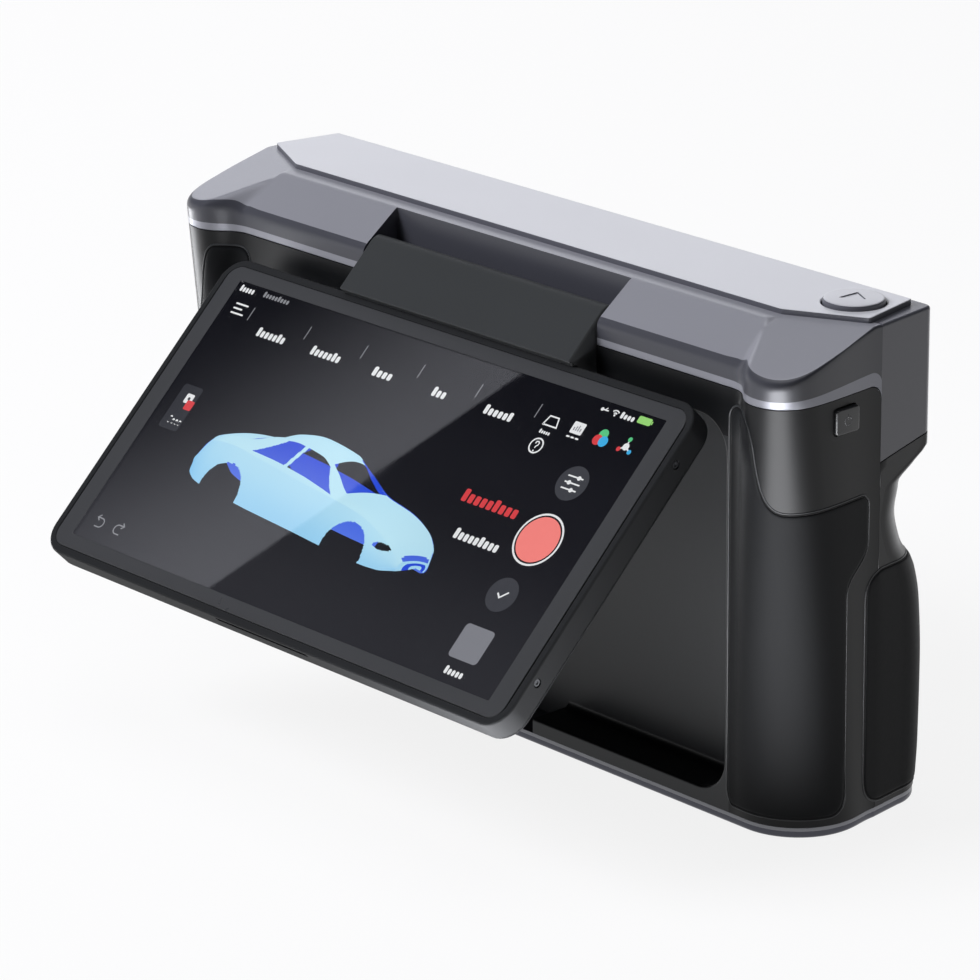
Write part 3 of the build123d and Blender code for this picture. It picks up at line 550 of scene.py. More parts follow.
def frontPoint(s, z):
    s, z = np.broadcast_arrays(np.asarray(s, float), np.asarray(z, float))
    heights = np.array(front["levels"]) * plan["chinZ"]
    chin = easeThrough(z, heights, front["chin"])
    reach = mix(mix(front["throat"], front["swell"], easeThrough(z, heights, front["reach"])), plan["frontY"], chin)
    waist = mix(front["waist"], plan["frontY"], chin)
    turn = mix(front["turn"], front["round"], chin)
    inner = mix(front["inner"], front["chinInner"], chin)
    cornerY = reach - turn
    cornerX = sideAt(cornerY)
    crest = cornerX - turn
    hold = front["cornerHold"] * turn
    run = front["hold"] * (crest - inner)
    seam, parting = plan["seamHalf"], plan["partingY"]
    t = np.clip(s / frontRuns[1], 0, 1)
    x, y = mix(seam, cornerX, t), mix(parting, cornerY, t)
    t = np.clip((s - frontRuns[1]) / (frontRuns[2] - frontRuns[1]), 0, 1)
    here = s > frontRuns[1]
    x = np.where(here, cubic(cornerX, cornerX, crest + hold, crest, t), x)
    y = np.where(here, cubic(cornerY, cornerY + hold, reach, reach, t), y)
    t = np.clip((s - frontRuns[2]) / (frontRuns[3] - frontRuns[2]), 0, 1)
    here = s > frontRuns[2]
    x = np.where(here, cubic(crest, crest - run, inner + run, inner, t), x)
    y = np.where(here, cubic(reach, reach, waist, waist, t), y)
    t = np.clip((s - frontRuns[3]) / (frontRuns[4] - frontRuns[3]), 0, 1)
    here = s > frontRuns[3]
    return np.where(here, inner * (1 - t), x), np.where(here, waist, y)


def fullRing(s, z, half):
    # left side mirrored and put before the right side
    x, y = half(s, z)
    right = np.stack([x, y], 1)
    left = right[::-1] * (-1, 1)
    return np.vstack([left, right])


def bandLow(y):
    # the seam between housing and cover turns down in a round corner where it meets the optics housing
    radius = plan["seamCorner"]
    over = np.clip(np.asarray(y, float) - (plan["partingY"] - radius), 0, radius)
    return plan["bandZ"] - (radius - np.sqrt(radius ** 2 - over ** 2))


def atHeight(ring, z):
    return np.column_stack([ring, np.full(len(ring), z)])


# Rear housing: the black shell with the pocket for the screen

housing = {
    "pocketHalf": 75.4, "pocketLow": 5.8, "pocketHigh": 87.8, "pocketRound": 7.6, "pocketFloor": -9.3,
    "floorFillet": 1.4, "rimRound": 0.6,
    "notchHalf": 37.2, "notchY": -10.0, "notchLow": 80.0, "lipHalf": 16.7, "lipHigh": 13.4, "cutBehind": -60.0,
    "cutSide": 99.0, "cutProud": 8.0,
    "satinHigh": 84.0, "satinHalf": 77.1, "satinFacing": -0.95, "satinDeep": 0.3, "ringSet": 4.0,
    "powerY": -7.4, "powerZ": 90.4, "powerHalfY": 3.6, "powerHalfZ": 3.0, "powerFlangeY": 4.4, "powerFlangeZ": 3.8,
    "powerDeep": 9.0,
    "powerRound": 1.0, "powerFlangeRound": 1.6, "powerStep": (94.9, 95.0),
    "portZ": 88.0, "portHalfY": 4.65, "portHalfZ": 1.75, "portRound": 1.7, "portDeep": 9.0,
}
rearSteps = np.concatenate([
    [swellFrom], np.linspace(swellFrom, cornerFrom, 22)[1:], np.linspace(cornerFrom, sideFrom, 26)[1:],
    np.linspace(sideFrom, seamFrom, 10)[1:],
    seamFrom + plan["seamRun"] * np.sin(np.linspace(0, math.pi / 2, 14)[1:])])


def boxCutter(x0, x1, y0, y1, z0, z1):
    rings = [[(x0, y0, z), (x1, y0, z), (x1, y1, z), (x0, y1, z)] for z in (z0, z1)]
    return makePiece("cutter", *loftRings(rings), gapBlack)


def notchCutter():
    h = housing
    return boxCutter(-h["notchHalf"], h["notchHalf"], h["cutBehind"], h["notchY"], h["notchLow"], plan["cutHigh"])


def pocketCutter():
    h = housing
    middle = (h["pocketLow"] + h["pocketHigh"]) / 2
    tall = (h["pocketHigh"] - h["pocketLow"]) / 2
    rings = []
    stages = []
    for out, below in quarter(6):
        stages.append((h["floorFillet"] * below, h["pocketFloor"] - h["floorFillet"] * out))
    for angle in np.linspace(0, 80, 6):
        a, r = math.radians(angle), h["rimRound"]
        stages.append((-r * (1 - math.cos(a)), plan["faceY"] + r * (1 - math.sin(a))))
    stages.append((-h["rimRound"], plan["faceY"] - 0.02))
    stages.append((-h["rimRound"], plan["faceY"] - h["cutProud"]))
    for inset, y in stages:
        line = roundedRect(h["pocketHalf"] - inset, tall - inset, h["pocketRound"] - inset, 10)
        rings.append([(p[0], y, middle + p[1]) for p in line])
    return makePiece("cutter", *loftRings(rings), gapBlack)


def sideCutter(stages, y, z):
    # stages are (x, half width, half height, corner radius), from the inside out
    rings = []
    for x, halfY, halfZ, radius in stages:
        rings.append([(x, y + p[0], z + p[1]) for p in roundedRect(halfY, halfZ, radius, 5)])
    return makePiece("cutter", *loftRings(rings), gapBlack)


def makeHousing():
    h, g = housing, plan["groove"]
    low, high = plan["baseZ"], plan["bandZ"]
    rings = []
    levels = [(low, g), (low + g, 0.0)]
    levels += [(z, 0.0) for z in np.linspace(low + h["ringSet"], high - h["ringSet"], 14)]
    levels += [(high - g, 0.0), (high, g)]
    for z, inset in levels:
        ring = fullRing(rearSteps[:-1], z, rearPoint)
        tail = np.array([plan["seamHalf"] - g, plan["partingY"]])
        ring = np.vstack([tail * (-1, 1), ring, tail])
        if inset:
            ring = np.vstack([ring[:1] * 0.999, insetLine(ring[1:-1], inset, closed=False), ring[-1:] * (0.999, 1)])
        drop = np.where(z > high - 1, plan["bandZ"] - bandLow(ring[:, 1]), 0.0)
        rings.append(np.column_stack([ring, z - drop]))
    shell = makePiece("rearShell", *loftRings(rings), blackAbs)
    wide = plan["halfWidth"]
    flange = (h["powerFlangeY"], h["powerFlangeZ"], h["powerFlangeRound"])
    key = (h["powerHalfY"], h["powerHalfZ"], h["powerRound"])
    port = (h["portHalfY"], h["portHalfZ"], h["portRound"])
    cuts = [
        pocketCutter(),
        notchCutter(),
        boxCutter(-h["lipHalf"], h["lipHalf"], h["cutBehind"], h["pocketFloor"], plan["cutLow"], h["lipHigh"]),
        sideCutter([(wide - h["powerDeep"], *flange), (h["powerStep"][0], *flange), (h["powerStep"][1], *key),
            (h["cutSide"], *key)], h["powerY"], h["powerZ"]),
        sideCutter([(-wide + h["portDeep"], *port), (-h["cutSide"], *port)], h["powerY"], h["portZ"]),
    ]
    cutAway(shell, cuts, 32)
    def onPocket(at, way):
        behind = way.y < h["satinFacing"] and at.z < h["satinHigh"]
        return behind and (at.y > h["pocketFloor"] - h["satinDeep"] or abs(at.x) < h["satinHalf"])
    tint(shell, pocketSatinAndLipHighlight, onPocket)
    return place(shell, "scanner_body", "black_plastic", "rear_housing")


makeHousing()
print("rear housing made")


# Top cover: band, long slope, ledge and two shoulder facets that flow into the slope

hinge = {"y": -15.7, "z": 97.5, "openAngle": 45.97, "bore": 1.95, "boreFrom": 36.0, "boreTo": 47.0}
cover = {
    "flatRun": 70.0, "turnRun": 118.0, "endLean": 0.15, "planZ": 102.0, "footStep": 1.2,
    "roundRuns": (74.0, 82.0, 112.0), "soft": 0.35, "keyLow": 90.0,
    "notchShade": 0.1, "slopeY": -10.1, "fall": 0.737, "plateY": -5.8, "bendHalf": 76.8, "endHalf": 93.65, "endY": 2.5,
    "facet": (0.129, -0.262, 0.956), "strip": 1.6, "blendFrom": 76.4, "blendLean": 0.2, "blendSpread": 1.6,
    "blendGrow": 1.15, "shoulderRound": 1.9, "slopeRound": 1.4, "seamRound": 0.7, "shadedBandRows": 12,
}


def coverHeight(x, y):
    c = cover
    ledge = plan["ledgeZ"]
    a = (y - c["slopeY"]) * c["fall"]
    middle = ledge + np.where(a < 0, a, 0.0)
    soft = c["soft"]  # rounds the break between ledge and slope
    middle = np.where(np.abs(a) < soft, ledge - (soft - a) ** 2 / (4 * soft), middle)
    nx, ny, nz = c["facet"]
    facet = ledge - (nx * (np.abs(x) - c["bendHalf"]) + ny * (y - c["plateY"]) - c["strip"] * math.hypot(nx, ny)) / nz
    facet = np.minimum(facet, ledge)
    begin = c["blendFrom"] + c["blendLean"] * np.maximum(c["slopeY"] - y, 0)
    spread = c["blendSpread"] + c["blendGrow"] * np.maximum(facet - middle, 0)
    return mix(middle, facet, smoothStep((np.abs(x) - begin) / spread))


def makeCover():
    c, g = cover, plan["groove"]
    stops = (0, c["flatRun"], swellFrom, cornerFrom, sideFrom, seamFrom)
    steps = [np.linspace(a, b, n)[:-1] for a, b, n in zip(stops[:-1], stops[1:], (15, 12, 40, 34, 14))]
    steps = np.concatenate(steps + [seamFrom + plan["seamRun"] * np.sin(np.linspace(0, math.pi / 2, 14))])
    # the plate's outline, which the columns run towards
    ends = np.array([(0, c["plateY"]), (c["bendHalf"], c["plateY"]), (c["endHalf"], c["endY"]),
        (c["endHalf"] - c["endLean"], plan["partingY"])])
    legs = [0, 1, 2, 3]
    rounds = [c["slopeRound"], c["slopeRound"], c["shoulderRound"], c["shoulderRound"], c["seamRound"]]
    half = []
    for s in steps:
        run = np.interp(s, [0, swellFrom, c["turnRun"], rearEnd], legs)
        q = np.array([np.interp(run, legs, ends[:, 0]), np.interp(run, legs, ends[:, 1])])
        p = np.array(rearPoint(s, c["planZ"])).ravel()
        inward = (q - p) / np.linalg.norm(q - p)
        radius = np.interp(s, [0, *c["roundRuns"], rearEnd], rounds)
        edge = float(coverHeight(p[0], p[1]))
        low = float(bandLow(p[1]))
        foot = np.array(rearPoint(s, low)).ravel()
        column = [(*(foot + inward * g), low), (*foot, low + g)]
        for z in np.linspace(low + c["footStep"], edge - radius, 7):
            column.append((*np.array(rearPoint(s, z)).ravel(), z))
        begin = np.array(column[-1])
        crown = np.array((*np.array(rearPoint(s, edge)).ravel(), edge))
        stop = p + inward * radius
        end = np.array((*stop, float(coverHeight(*stop))))
        for t in np.linspace(0, 1, 9)[1:]:
            column.append(tuple((1 - t) ** 2 * begin + 2 * t * (1 - t) * crown + t * t * end))
        for t in np.linspace(0, 1, 22)[1:]:
            spot = mix(stop, q, t)
            column.append((*spot, float(coverHeight(*spot))))
        back = (q[0], plan["partingY"])
        column.append((*back, plan["ledgeZ"]))
        column.append((*back, low))
        half.append(column)
    half = np.array(half)
    columns = np.concatenate([half[::-1] * (-1, 1, 1), half[1:]])
    shell = makePiece("topShell", *loftRings(columns), greyPaint, 32)
    # painted shade: the upright band, up to the middle of its rounded edge, is darker than the top
    shell.data.materials.append(shadedBandPaint)
    tall = len(columns[0])
    for face in shell.data.polygons:
        face.material_index = int(max(k % tall for k in face.vertices) <= c["shadedBandRows"])
    cuts = [
        notchCutter(),
        roundCutter(plan["buttonAt"], plan["keyHole"], c["keyLow"], plan["cutHigh"]),
        roundCutter(plan["buttonAt"], plan["wellRadius"], plan["wellLow"], plan["wellHigh"]),
        rodCutter(hinge["boreFrom"], hinge["boreTo"]),
        rodCutter(-hinge["boreTo"], -hinge["boreFrom"]),
    ]
    cutAway(shell, cuts, 32)
    # painted shade: the notch's upright walls get the band's darker grey
    tint(shell, shadedBandPaint, lambda at, way: abs(at.x) < housing["notchHalf"] + c["notchShade"] and abs(way.z) < 0.5)
    return place(shell, "scanner_body", "silver_finish", "top_cover")


def roundCutter(centre, radius, z0, z1, steps=48):
    rings = [[(centre[0] + radius * c, centre[1] + radius * s, z) for c, s in circle(steps)] for z in (z0, z1)]
    return makePiece("cutter", *loftRings(rings), gapBlack)


def rodCutter(x0, x1, steps=32):
    # bore for a hinge shaft
    r = hinge["bore"]
    rings = [[(x, hinge["y"] + r * c, hinge["z"] + r * s) for c, s in circle(steps)] for x in (x0, x1)]
    return makePiece("cutter", *loftRings(rings), gapBlack)


makeCover()
print("top cover made")


# Optics housing: the block that carries the window, up to the ledge

optics = {
    "edge": 0.7, "corner": 2.0, "windowZ": 91.6, "windowHalfW": 87.15, "windowHalfH": 8.75, "windowRound": 4.1,
    "windowDeep": 1.5, "levels": (84, 90, 96, 102), "keyLow": 95.0, "windowBevel": 0.35, "boreClear": 0.2,
    "boreEnd": 25.0, "cutFront": 30.0,
    "bores": ("far_camera_left", "near_camera_left", "far_projector", "colour_camera", "near_projector",
        "near_camera_right", "far_camera_right", "fill_light_left", "fill_light_right"),
}


def chinAt(y):
    return plan["chinZ"] + plan["chinRise"] * (y - plan["partingY"]) / (plan["frontY"] - plan["partingY"])


def headRing(inset):
    corners = [(plan["seamHalf"], plan["partingY"], 0), (plan["frontHalf"], plan["frontY"], optics["corner"]),
        (-plan["frontHalf"], plan["frontY"], optics["corner"]), (-plan["seamHalf"], plan["partingY"], 0)]
    line = roundCorners(corners, 9)
    if inset:
        line = insetLine(line, inset)
    line[:, 1] = np.maximum(line[:, 1], plan["partingY"])
    return line


def makeOptics():
    o, g = optics, plan["groove"]
    rings = []
    for inset, lift in ((g, 0.0), (0.0, g)):
        ring = headRing(inset)
        rings.append(np.column_stack([ring, chinAt(ring[:, 1]) + lift]))
    for z in (*o["levels"], plan["ledgeZ"] - o["edge"]):
        rings.append(atHeight(headRing(0.0), z))
    for into, below in quarter(7)[1:]:
        rings.append(atHeight(headRing(o["edge"] * into), plan["ledgeZ"] - o["edge"] * below))
    shell = makePiece("opticsShell", *loftRings(rings), slateAndShadePaint)
    window = []
    bevel = o["windowBevel"]
    for y, grow in ((plan["frontY"] - o["windowDeep"], 0.0), (plan["frontY"] - 0.3, 0.0),
            (plan["frontY"] + 0.05, bevel), (o["cutFront"], bevel)):
        line = roundedRect(o["windowHalfW"] + grow, o["windowHalfH"] + grow, o["windowRound"] + grow, 8)
        window.append([(p[0], y, o["windowZ"] + p[1]) for p in line])
    cuts = [
        makePiece("cutter", *loftRings(window), gapBlack),
        roundCutter(plan["buttonAt"], plan["wellRadius"], plan["wellLow"], plan["wellHigh"]),
        roundCutter(plan["buttonAt"], plan["keyHole"], o["keyLow"], plan["cutHigh"]),
    ]
    for node in o["bores"]:
        low, high = (np.array(c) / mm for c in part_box(node))
        middle, reach = (low[0] + high[0]) / 2, (high[0] - low[0] + o["boreClear"]) / 2
        rings = [[(middle + reach * c, y, o["windowZ"] + reach * s) for c, s in circle(48)]
            for y in (low[1] - o["boreClear"], o["boreEnd"])]
        cuts.append(makePiece("cutter", *loftRings(rings), gapBlack))
    cutAway(shell, cuts, 32)
    return place(shell, "scanner_body", "silver_finish", "optics_housing")


makeOptics()
print("optics housing made")


# Front cover: finger throat above, finger swell below

def makeFront():
    g = plan["groove"]
    steps = np.concatenate([
        np.linspace(front["first"], turnFrom, 8)[:-1], np.linspace(turnFrom, bulgeFrom, 18)[:-1],
        np.linspace(bulgeFrom, middleFrom, 26)[:-1], np.linspace(middleFrom, frontEnd, 8)])
    low = plan["baseZ"]
    shares = np.linspace(0, 1, 70)
    columns = []
    for s in steps:
        top = plan["chinZ"]
        for _ in range(12):
            top = chinAt(float(frontPoint(s, top)[1]))
        zs = np.concatenate([[low + g], mix(low + front["edgeStep"], top - front["edgeStep"], shares), [top - g]])
        x, y = frontPoint(np.full(len(zs), s), zs)
        column = np.column_stack([x, y, zs])
        inward = np.array((-0.7, -0.7)) if s < bulgeFrom else np.array((0.0, -1.0))
        foot = np.array((*(column[0, :2] + inward * g), low))
        crown = np.array((*(column[-1, :2] + inward * g), top))
        columns.append(np.vstack([foot, column, crown]))
    first = columns[0].copy()
    first[:, 0] -= g
    first[:, 1] = plan["partingY"]
    right = np.array([first] + columns)
    left = right[::-1] * (-1, 1, 1)
    rings = np.concatenate([right, left[1:]])
    points, faces = loftRings(rings, closeRing=False, capStart=False, capEnd=False, closeLoft=True)
    count = rings.shape[1]
    faces.append(tuple(k * count for k in range(len(rings))))
    faces.append(tuple(k * count + count - 1 for k in range(len(rings)))[::-1])
    shell = makePiece("frontShell", points, faces, blackAbs, 32)
    return place(shell, "scanner_body", "black_plastic", "front_cover")


makeFront()
print("front cover made")


# Base trim: a rounded plate under everything

base = {
    "edge": 0.9, "chamfer": 0.6, "highlightFrom": 0.1, "highlightTo": 0.9,
    "screws": (-62.0, -20.0, 20.0, 62.0), "screwY": -4.1, "screwHole": 2.4, "screwSeat": 1.5, "socketHole": 5.1,
    "socketDeep": 2.3,
}


def makeBase():
    b, g = base, plan["groove"]
    x, y = rearPoint(np.concatenate([np.linspace(0, swellFrom, 12)[:-1], rearSteps]), 0.0)
    runs = [np.linspace(a, c, n)[1:] for a, c, n in zip(frontRuns[:-1], frontRuns[1:], (8, 18, 22, 8))]
    fx, fy = frontPoint(np.concatenate(runs), 0.0)
    right = np.column_stack([np.concatenate([x, fx]), np.concatenate([y, fy])])
    left = right[::-1][1:-1] * (-1, 1)
    outline = np.vstack([right, left])
    rings = [
        atHeight(insetLine(outline, g + b["chamfer"]), plan["baseZ"]),
        atHeight(insetLine(outline, g), plan["baseZ"] - 0.05),
        atHeight(outline, plan["baseZ"] - b["chamfer"] - g),
        atHeight(outline, b["edge"]),
    ]
    for into, below in quarter(8)[1:]:
        rings.append(atHeight(insetLine(outline, b["edge"] * into), b["edge"] * below))
    trim = makePiece("baseTrim", *loftRings(rings), baseTrimFinish, 32)
    cuts = [roundCutter((0, 0), b["socketHole"], plan["cutLow"], b["socketDeep"])]
    cuts += [roundCutter((sx, b["screwY"]), b["screwHole"], plan["cutLow"], b["screwSeat"]) for sx in b["screws"]]
    cutAway(trim, cuts, 32)
    # painted highlight: the upward faces of the trim's edge get the pale key finish
    tint(trim, keyPaintAndHighlight, lambda at, way: b["highlightFrom"] < way.z < b["highlightTo"])  # the bright line along its upper edge
    return place(trim, "scanner_body", "grey_finish", "base_plate")


makeBase()
print("base made")


# Raised top plate with the well of the scan button

plate = {"corners": ((90.3, 18.3), (93.65, 2.5), (76.8, -5.8)), "round": 0.6, "edge": 0.18, "top": 109.0, "low": 107.6,
    "hole": 6.8, "holeEdge": 0.25, "cutTop": 115.0}


def makePlate():
    p = plate
    right = list(p["corners"])
    r = p["round"]
    ring = roundCorners([(x, y, r) for x, y in right] + [(-x, y, r) for x, y in right[::-1]], 5)[::-1]
    rings = [atHeight(ring, p["low"]), atHeight(ring, p["top"] - p["edge"])]
    for into, below in quarter(5)[1:]:
        rings.append(atHeight(insetLine(ring, p["edge"] * into), p["top"] - p["edge"] * below))
    shell = makePiece("topPlate", *loftRings(rings), silverPaint)
    cutter = []
    bevel = p["holeEdge"]
    for z, grow in ((plan["wellLow"], 0), (p["top"] - bevel, 0), (p["top"] + 0.02, bevel), (p["cutTop"], bevel)):
        r = p["hole"] + grow
        cutter.append([(plan["buttonAt"][0] + r * c, plan["buttonAt"][1] + r * s, z) for c, s in circle(64)])
    cutAway(shell, [makePiece("cutter", *loftRings(cutter), gapBlack)], 32)
    # painted shade: the plate's upright edge and the wall of the button's hole get the darker slate grey
    tint(shell, slateAndShadePaint, lambda at, way: abs(way.z) < 0.5)
    return place(shell, "scanner_body", "silver_finish", "top_plate")


makePlate()
print("top plate made")


# Rubber grips: skins that follow the housing, a little proud, with a fine dark seam round them

grip = {
    "lift": 0.22, "sunk": 0.05, "edge": 0.7, "edgeRings": (0.0, 0.12, 0.28, 0.48), "flatFrom": 1.2, "coreGap": 0.8,
    "skin": 0.9, "rimSkin": 0.3,
    "outlineStep": 0.9, "gridStep": 1.6,
    "seam": ((-0.1, 0.02), (0.3, 0.02)), "lip": ((0.26, -0.02), (0.3, 0.08), (0.4, 0.13), (0.52, 0.13), (0.62, 0.08),
        (0.66, -0.02)),
    "left": 76.8, "low": 4.7, "footRound": 3.0, "horn": 91.6, "hornHalf": 84.0, "neck": 89.0, "neckIn": 86.0,
    "shelf": 72.4, "shelfHalf": 94.5, "shelfY": -15.5, "shelfRound": 1.5, "hornRound": 3.0,
    "narrowY": -6.5, "wideY": 0.3, "stepLow": 52.0, "stepHigh": 63.0,
    "frontLow": 4.2, "frontHigh": 55.0, "frontInner": 63.0, "frontMiddle": 30.0, "frontRound": 6.0, "frontRear": 0.3,
}


def rearSkin(points, lift):
    s, z = points[:, 0], points[:, 1]
    def at(ds, dz):
        x, y = rearPoint(s + ds, z + dz)
        return np.column_stack([x, y, z + dz])
    return liftOff(at, lift)


def frontSkin(points, lift):
    # points are (run from the parting line, z); a run below 0 lies on the rear housing
    s, z = points[:, 0], points[:, 1]
    def at(ds, dz):
        run, height = s + ds, z + dz
        back = rearAtY(plan["partingY"] + np.minimum(run, 0), height)
        x0, y0 = rearPoint(back, height)
        x1, y1 = frontPoint(np.maximum(run, 0), height)
        behind = run < 0
        return np.column_stack([np.where(behind, x0, x1), np.where(behind, y0, y1), height])
    return liftOff(at, lift)


def liftOff(at, lift):
    along = at(0.4, 0) - at(-0.4, 0)
    up = at(0, 0.4) - at(0, -0.4)
    normal = np.cross(along, up)
    normal /= np.linalg.norm(normal, axis=1)[:, None]
    return at(0, 0) + normal * np.asarray(lift)[:, None]


def makeGrip(name, outline, skin, mirror, *nodes):
    p = grip
    spacing = p["gridStep"]
    outline = resample(outline, p["outlineStep"])
    depths = [*p["edgeRings"], p["edge"], p["flatFrom"]]
    loops = [outline] + [insetLine(outline, d) for d in depths[1:]]
    inner = loops[-1]
    low, high = inner.min(0), inner.max(0)
    grid = np.array([(a, b) for a in np.arange(low[0], high[0], spacing) for b in np.arange(low[1], high[1], spacing)])
    core = insetLine(inner, p["coreGap"])
    grid = grid[insideOf(grid, core)]
    extra = np.vstack(loops[1:] + [grid])
    flat, faces = fillFlat(outline, (), extra)
    lifts = np.concatenate([np.full(len(outline), d) for d in depths] + [np.full(len(grid), p["flatFrom"])])
    share = np.clip(lifts / p["edge"], 0, 1)
    rise = -p["sunk"] + (p["lift"] + p["sunk"]) * np.sqrt(1 - (1 - share) ** 2)
    points = skin(flat, rise)
    turn = (-1, 1, 1) if mirror else (1, 1, 1)
    mesh = openSkin(name, points * turn, faces, gripRubber)
    giveThickness(mesh, p["skin"])
    place(mesh, "scanner_body", "rubber", *nodes)
    # the lip takes the pocket's lighter satin, a painted highlight added to the light its round section catches
    for part, profile, look, slot in (("Seam", p["seam"], gapBlack, "rubber"),
            ("Lip", p["lip"], pocketSatinAndLipHighlight, "black_plastic")):
        line, strips = loftSeam(outline, skin, profile)
        rim = openSkin(name + part, line * turn, strips, look)
        giveThickness(rim, p["rimSkin"])
        place(rim, "scanner_body", slot)


def loftSeam(outline, skin, profile):
    # profile lists (distance outside the outline, height over the housing)
    count = len(outline)
    points = np.vstack([skin(insetLine(outline, -out), np.full(count, high)) for out, high in profile])
    faces = []
    for row in range(len(profile) - 1):
        a, b = row * count, (row + 1) * count
        faces += [(a + k, a + (k + 1) % count, b + (k + 1) % count, b + k) for k in range(count)]
    return points, faces


def openSkin(name, points, faces, material):
    # an open sheet turned to face away from the body's middle
    piece = makePiece(name, points, faces, material, 60)
    mesh = piece.data
    facing = sum(p.normal.dot(Vector((p.center.x, p.center.y, 0))) * p.area for p in mesh.polygons)
    if facing < 0:
        mesh.flip_normals()
    return piece


def rearGripOutline():
    p = grip
    line = []
    def byX(x, z):
        line.append((float(rearAtX(np.array(x), np.array(z))), z))
    def byY(y, z):
        line.append((float(rearAtY(np.array(y), np.array(z))), z))
    foot = p["footRound"]
    corner = float(rearAtY(np.array(p["narrowY"]), np.array(p["low"])))
    bend = np.linspace(0, math.pi / 2, 8)[1:-1]
    line += [(s, p["low"]) for s in np.linspace(p["left"] + foot, corner - foot, 30)]
    line += [(corner - foot * (1 - math.sin(a)), p["low"] + foot * (1 - math.cos(a))) for a in bend]
    for z in np.linspace(p["low"] + foot, p["stepLow"], 40):
        byY(p["narrowY"], z)
    middle = (p["stepLow"] + p["stepHigh"]) / 2
    for t in np.linspace(0, 1, 16)[1:]:
        byY(cubic(p["narrowY"], p["narrowY"], p["wideY"], p["wideY"], t),
            cubic(p["stepLow"], middle, middle, p["stepHigh"], t))
    for z in np.linspace(p["stepHigh"] + 1, p["shelf"] - p["shelfRound"], 8):
        byY(p["wideY"], z)
    for y in np.linspace(p["wideY"] - p["shelfRound"], p["shelfY"], 16):
        byY(y, p["shelf"])
    for t in np.linspace(0, 1, 22):
        byX(cubic(p["shelfHalf"], p["neckIn"], p["neck"], p["hornHalf"], t),
            cubic(p["shelf"], p["shelf"], p["horn"], p["horn"], t))
    r = p["hornRound"]
    for t in np.linspace(0, 1, 8):
        line.append((mix(p["left"] + r, p["left"], 1 - (1 - t) ** 2), p["horn"] - r * t * t))
    for z in np.linspace(p["horn"] - r - 1, p["low"] + foot, 40):
        line.append((p["left"], z))
    line += [(p["left"] + foot * (1 - math.cos(a)), p["low"] + foot * (1 - math.sin(a))) for a in bend]
    return np.array(line)


def frontGripOutline():
    p = grip
    runs = np.linspace(bulgeFrom, middleFrom, 60)
    inner = float(np.interp(-p["frontInner"], -frontPoint(runs, p["frontMiddle"])[0], runs))
    r = p["frontRound"]
    rear = p["frontRear"] - plan["partingY"]
    corners = [(rear, p["frontLow"], r), (inner, p["frontLow"], r), (inner, p["frontHigh"], r),
        (rear, p["frontHigh"], r)]
    return roundCorners(corners, 9)


for side, mirror in (("right", False), ("left", True)):
    makeGrip("rearGrip" + side.capitalize(), rearGripOutline(), rearSkin, mirror, "rear_grip_" + side)
    makeGrip("frontGrip" + side.capitalize(), frontGripOutline(), frontSkin, mirror, "front_grip_" + side)
print("grips made")


# Screen, built shut and then swung open about its hinge

screen = {
    "glassY": -18.8, "middleZ": 47.0,
    "halfW": 75.0, "halfH": 39.4, "round": 6.0, "deep": 5.6, "backDeep": 3.4, "edge": 0.6,
    "glassHalfW": 73.0, "glassHalfH": 37.5, "glassRound": 3.6, "glassThick": 0.88,
    "activeHalfW": 68.1, "activeHalfH": 34.2, "activeRound": 0.3, "panelDeep": 0.96,
    "slotHalf": 15.0, "slotTall": 1.2, "slotSet": 1.5, "slotDeep": 1.0,
    "screwUp": 26.5, "screwSet": 2.1, "screwHole": 1.0, "screwDeep": 0.6,
    # edges of the frame, its back and the glass, as (in from the outline, depth)
    "lipSteps": ((5.0, 1.0), (1.85, 1.0), (1.85, 0.22), (1.65, 0.02)),
    "heelSteps": ((0.0, 0.3), (0.18, 0.08), (0.5, 0.0), (5.0, 0.0)),
    "backLip": ((0.55, -0.05), (0.15, 0.05), (0.12, 0.3)), "backFrom": (0.3, 0.5), "backLess": (0.9, 1.0),
    "backHeel": ((-0.3, 0.22), (0.1, 0.06), (0.6, 0.0)), "backRound": 0.4,
    "glassEdge": ((0.3, 0.0), (0.12, 0.03), (0.03, 0.12), (0.0, 0.3)), "paneGap": 0.02,
}


def swing(points):
    # points are (x, height over the screen's middle, depth behind the face of the glass)
    p = np.asarray(points, float).reshape(-1, 3)
    a = -math.radians(hinge["openAngle"])
    y = screen["glassY"] + p[:, 2] - hinge["y"]
    z = screen["middleZ"] + p[:, 1] - hinge["z"]
    return np.column_stack([p[:, 0], hinge["y"] + y * math.cos(a) - z * math.sin(a),
        hinge["z"] + y * math.sin(a) + z * math.cos(a)])


def screenRing(halfW, halfH, radius, depth, steps=10):
    return [(p[0], p[1], depth) for p in roundedRect(halfW, halfH, radius, steps)]


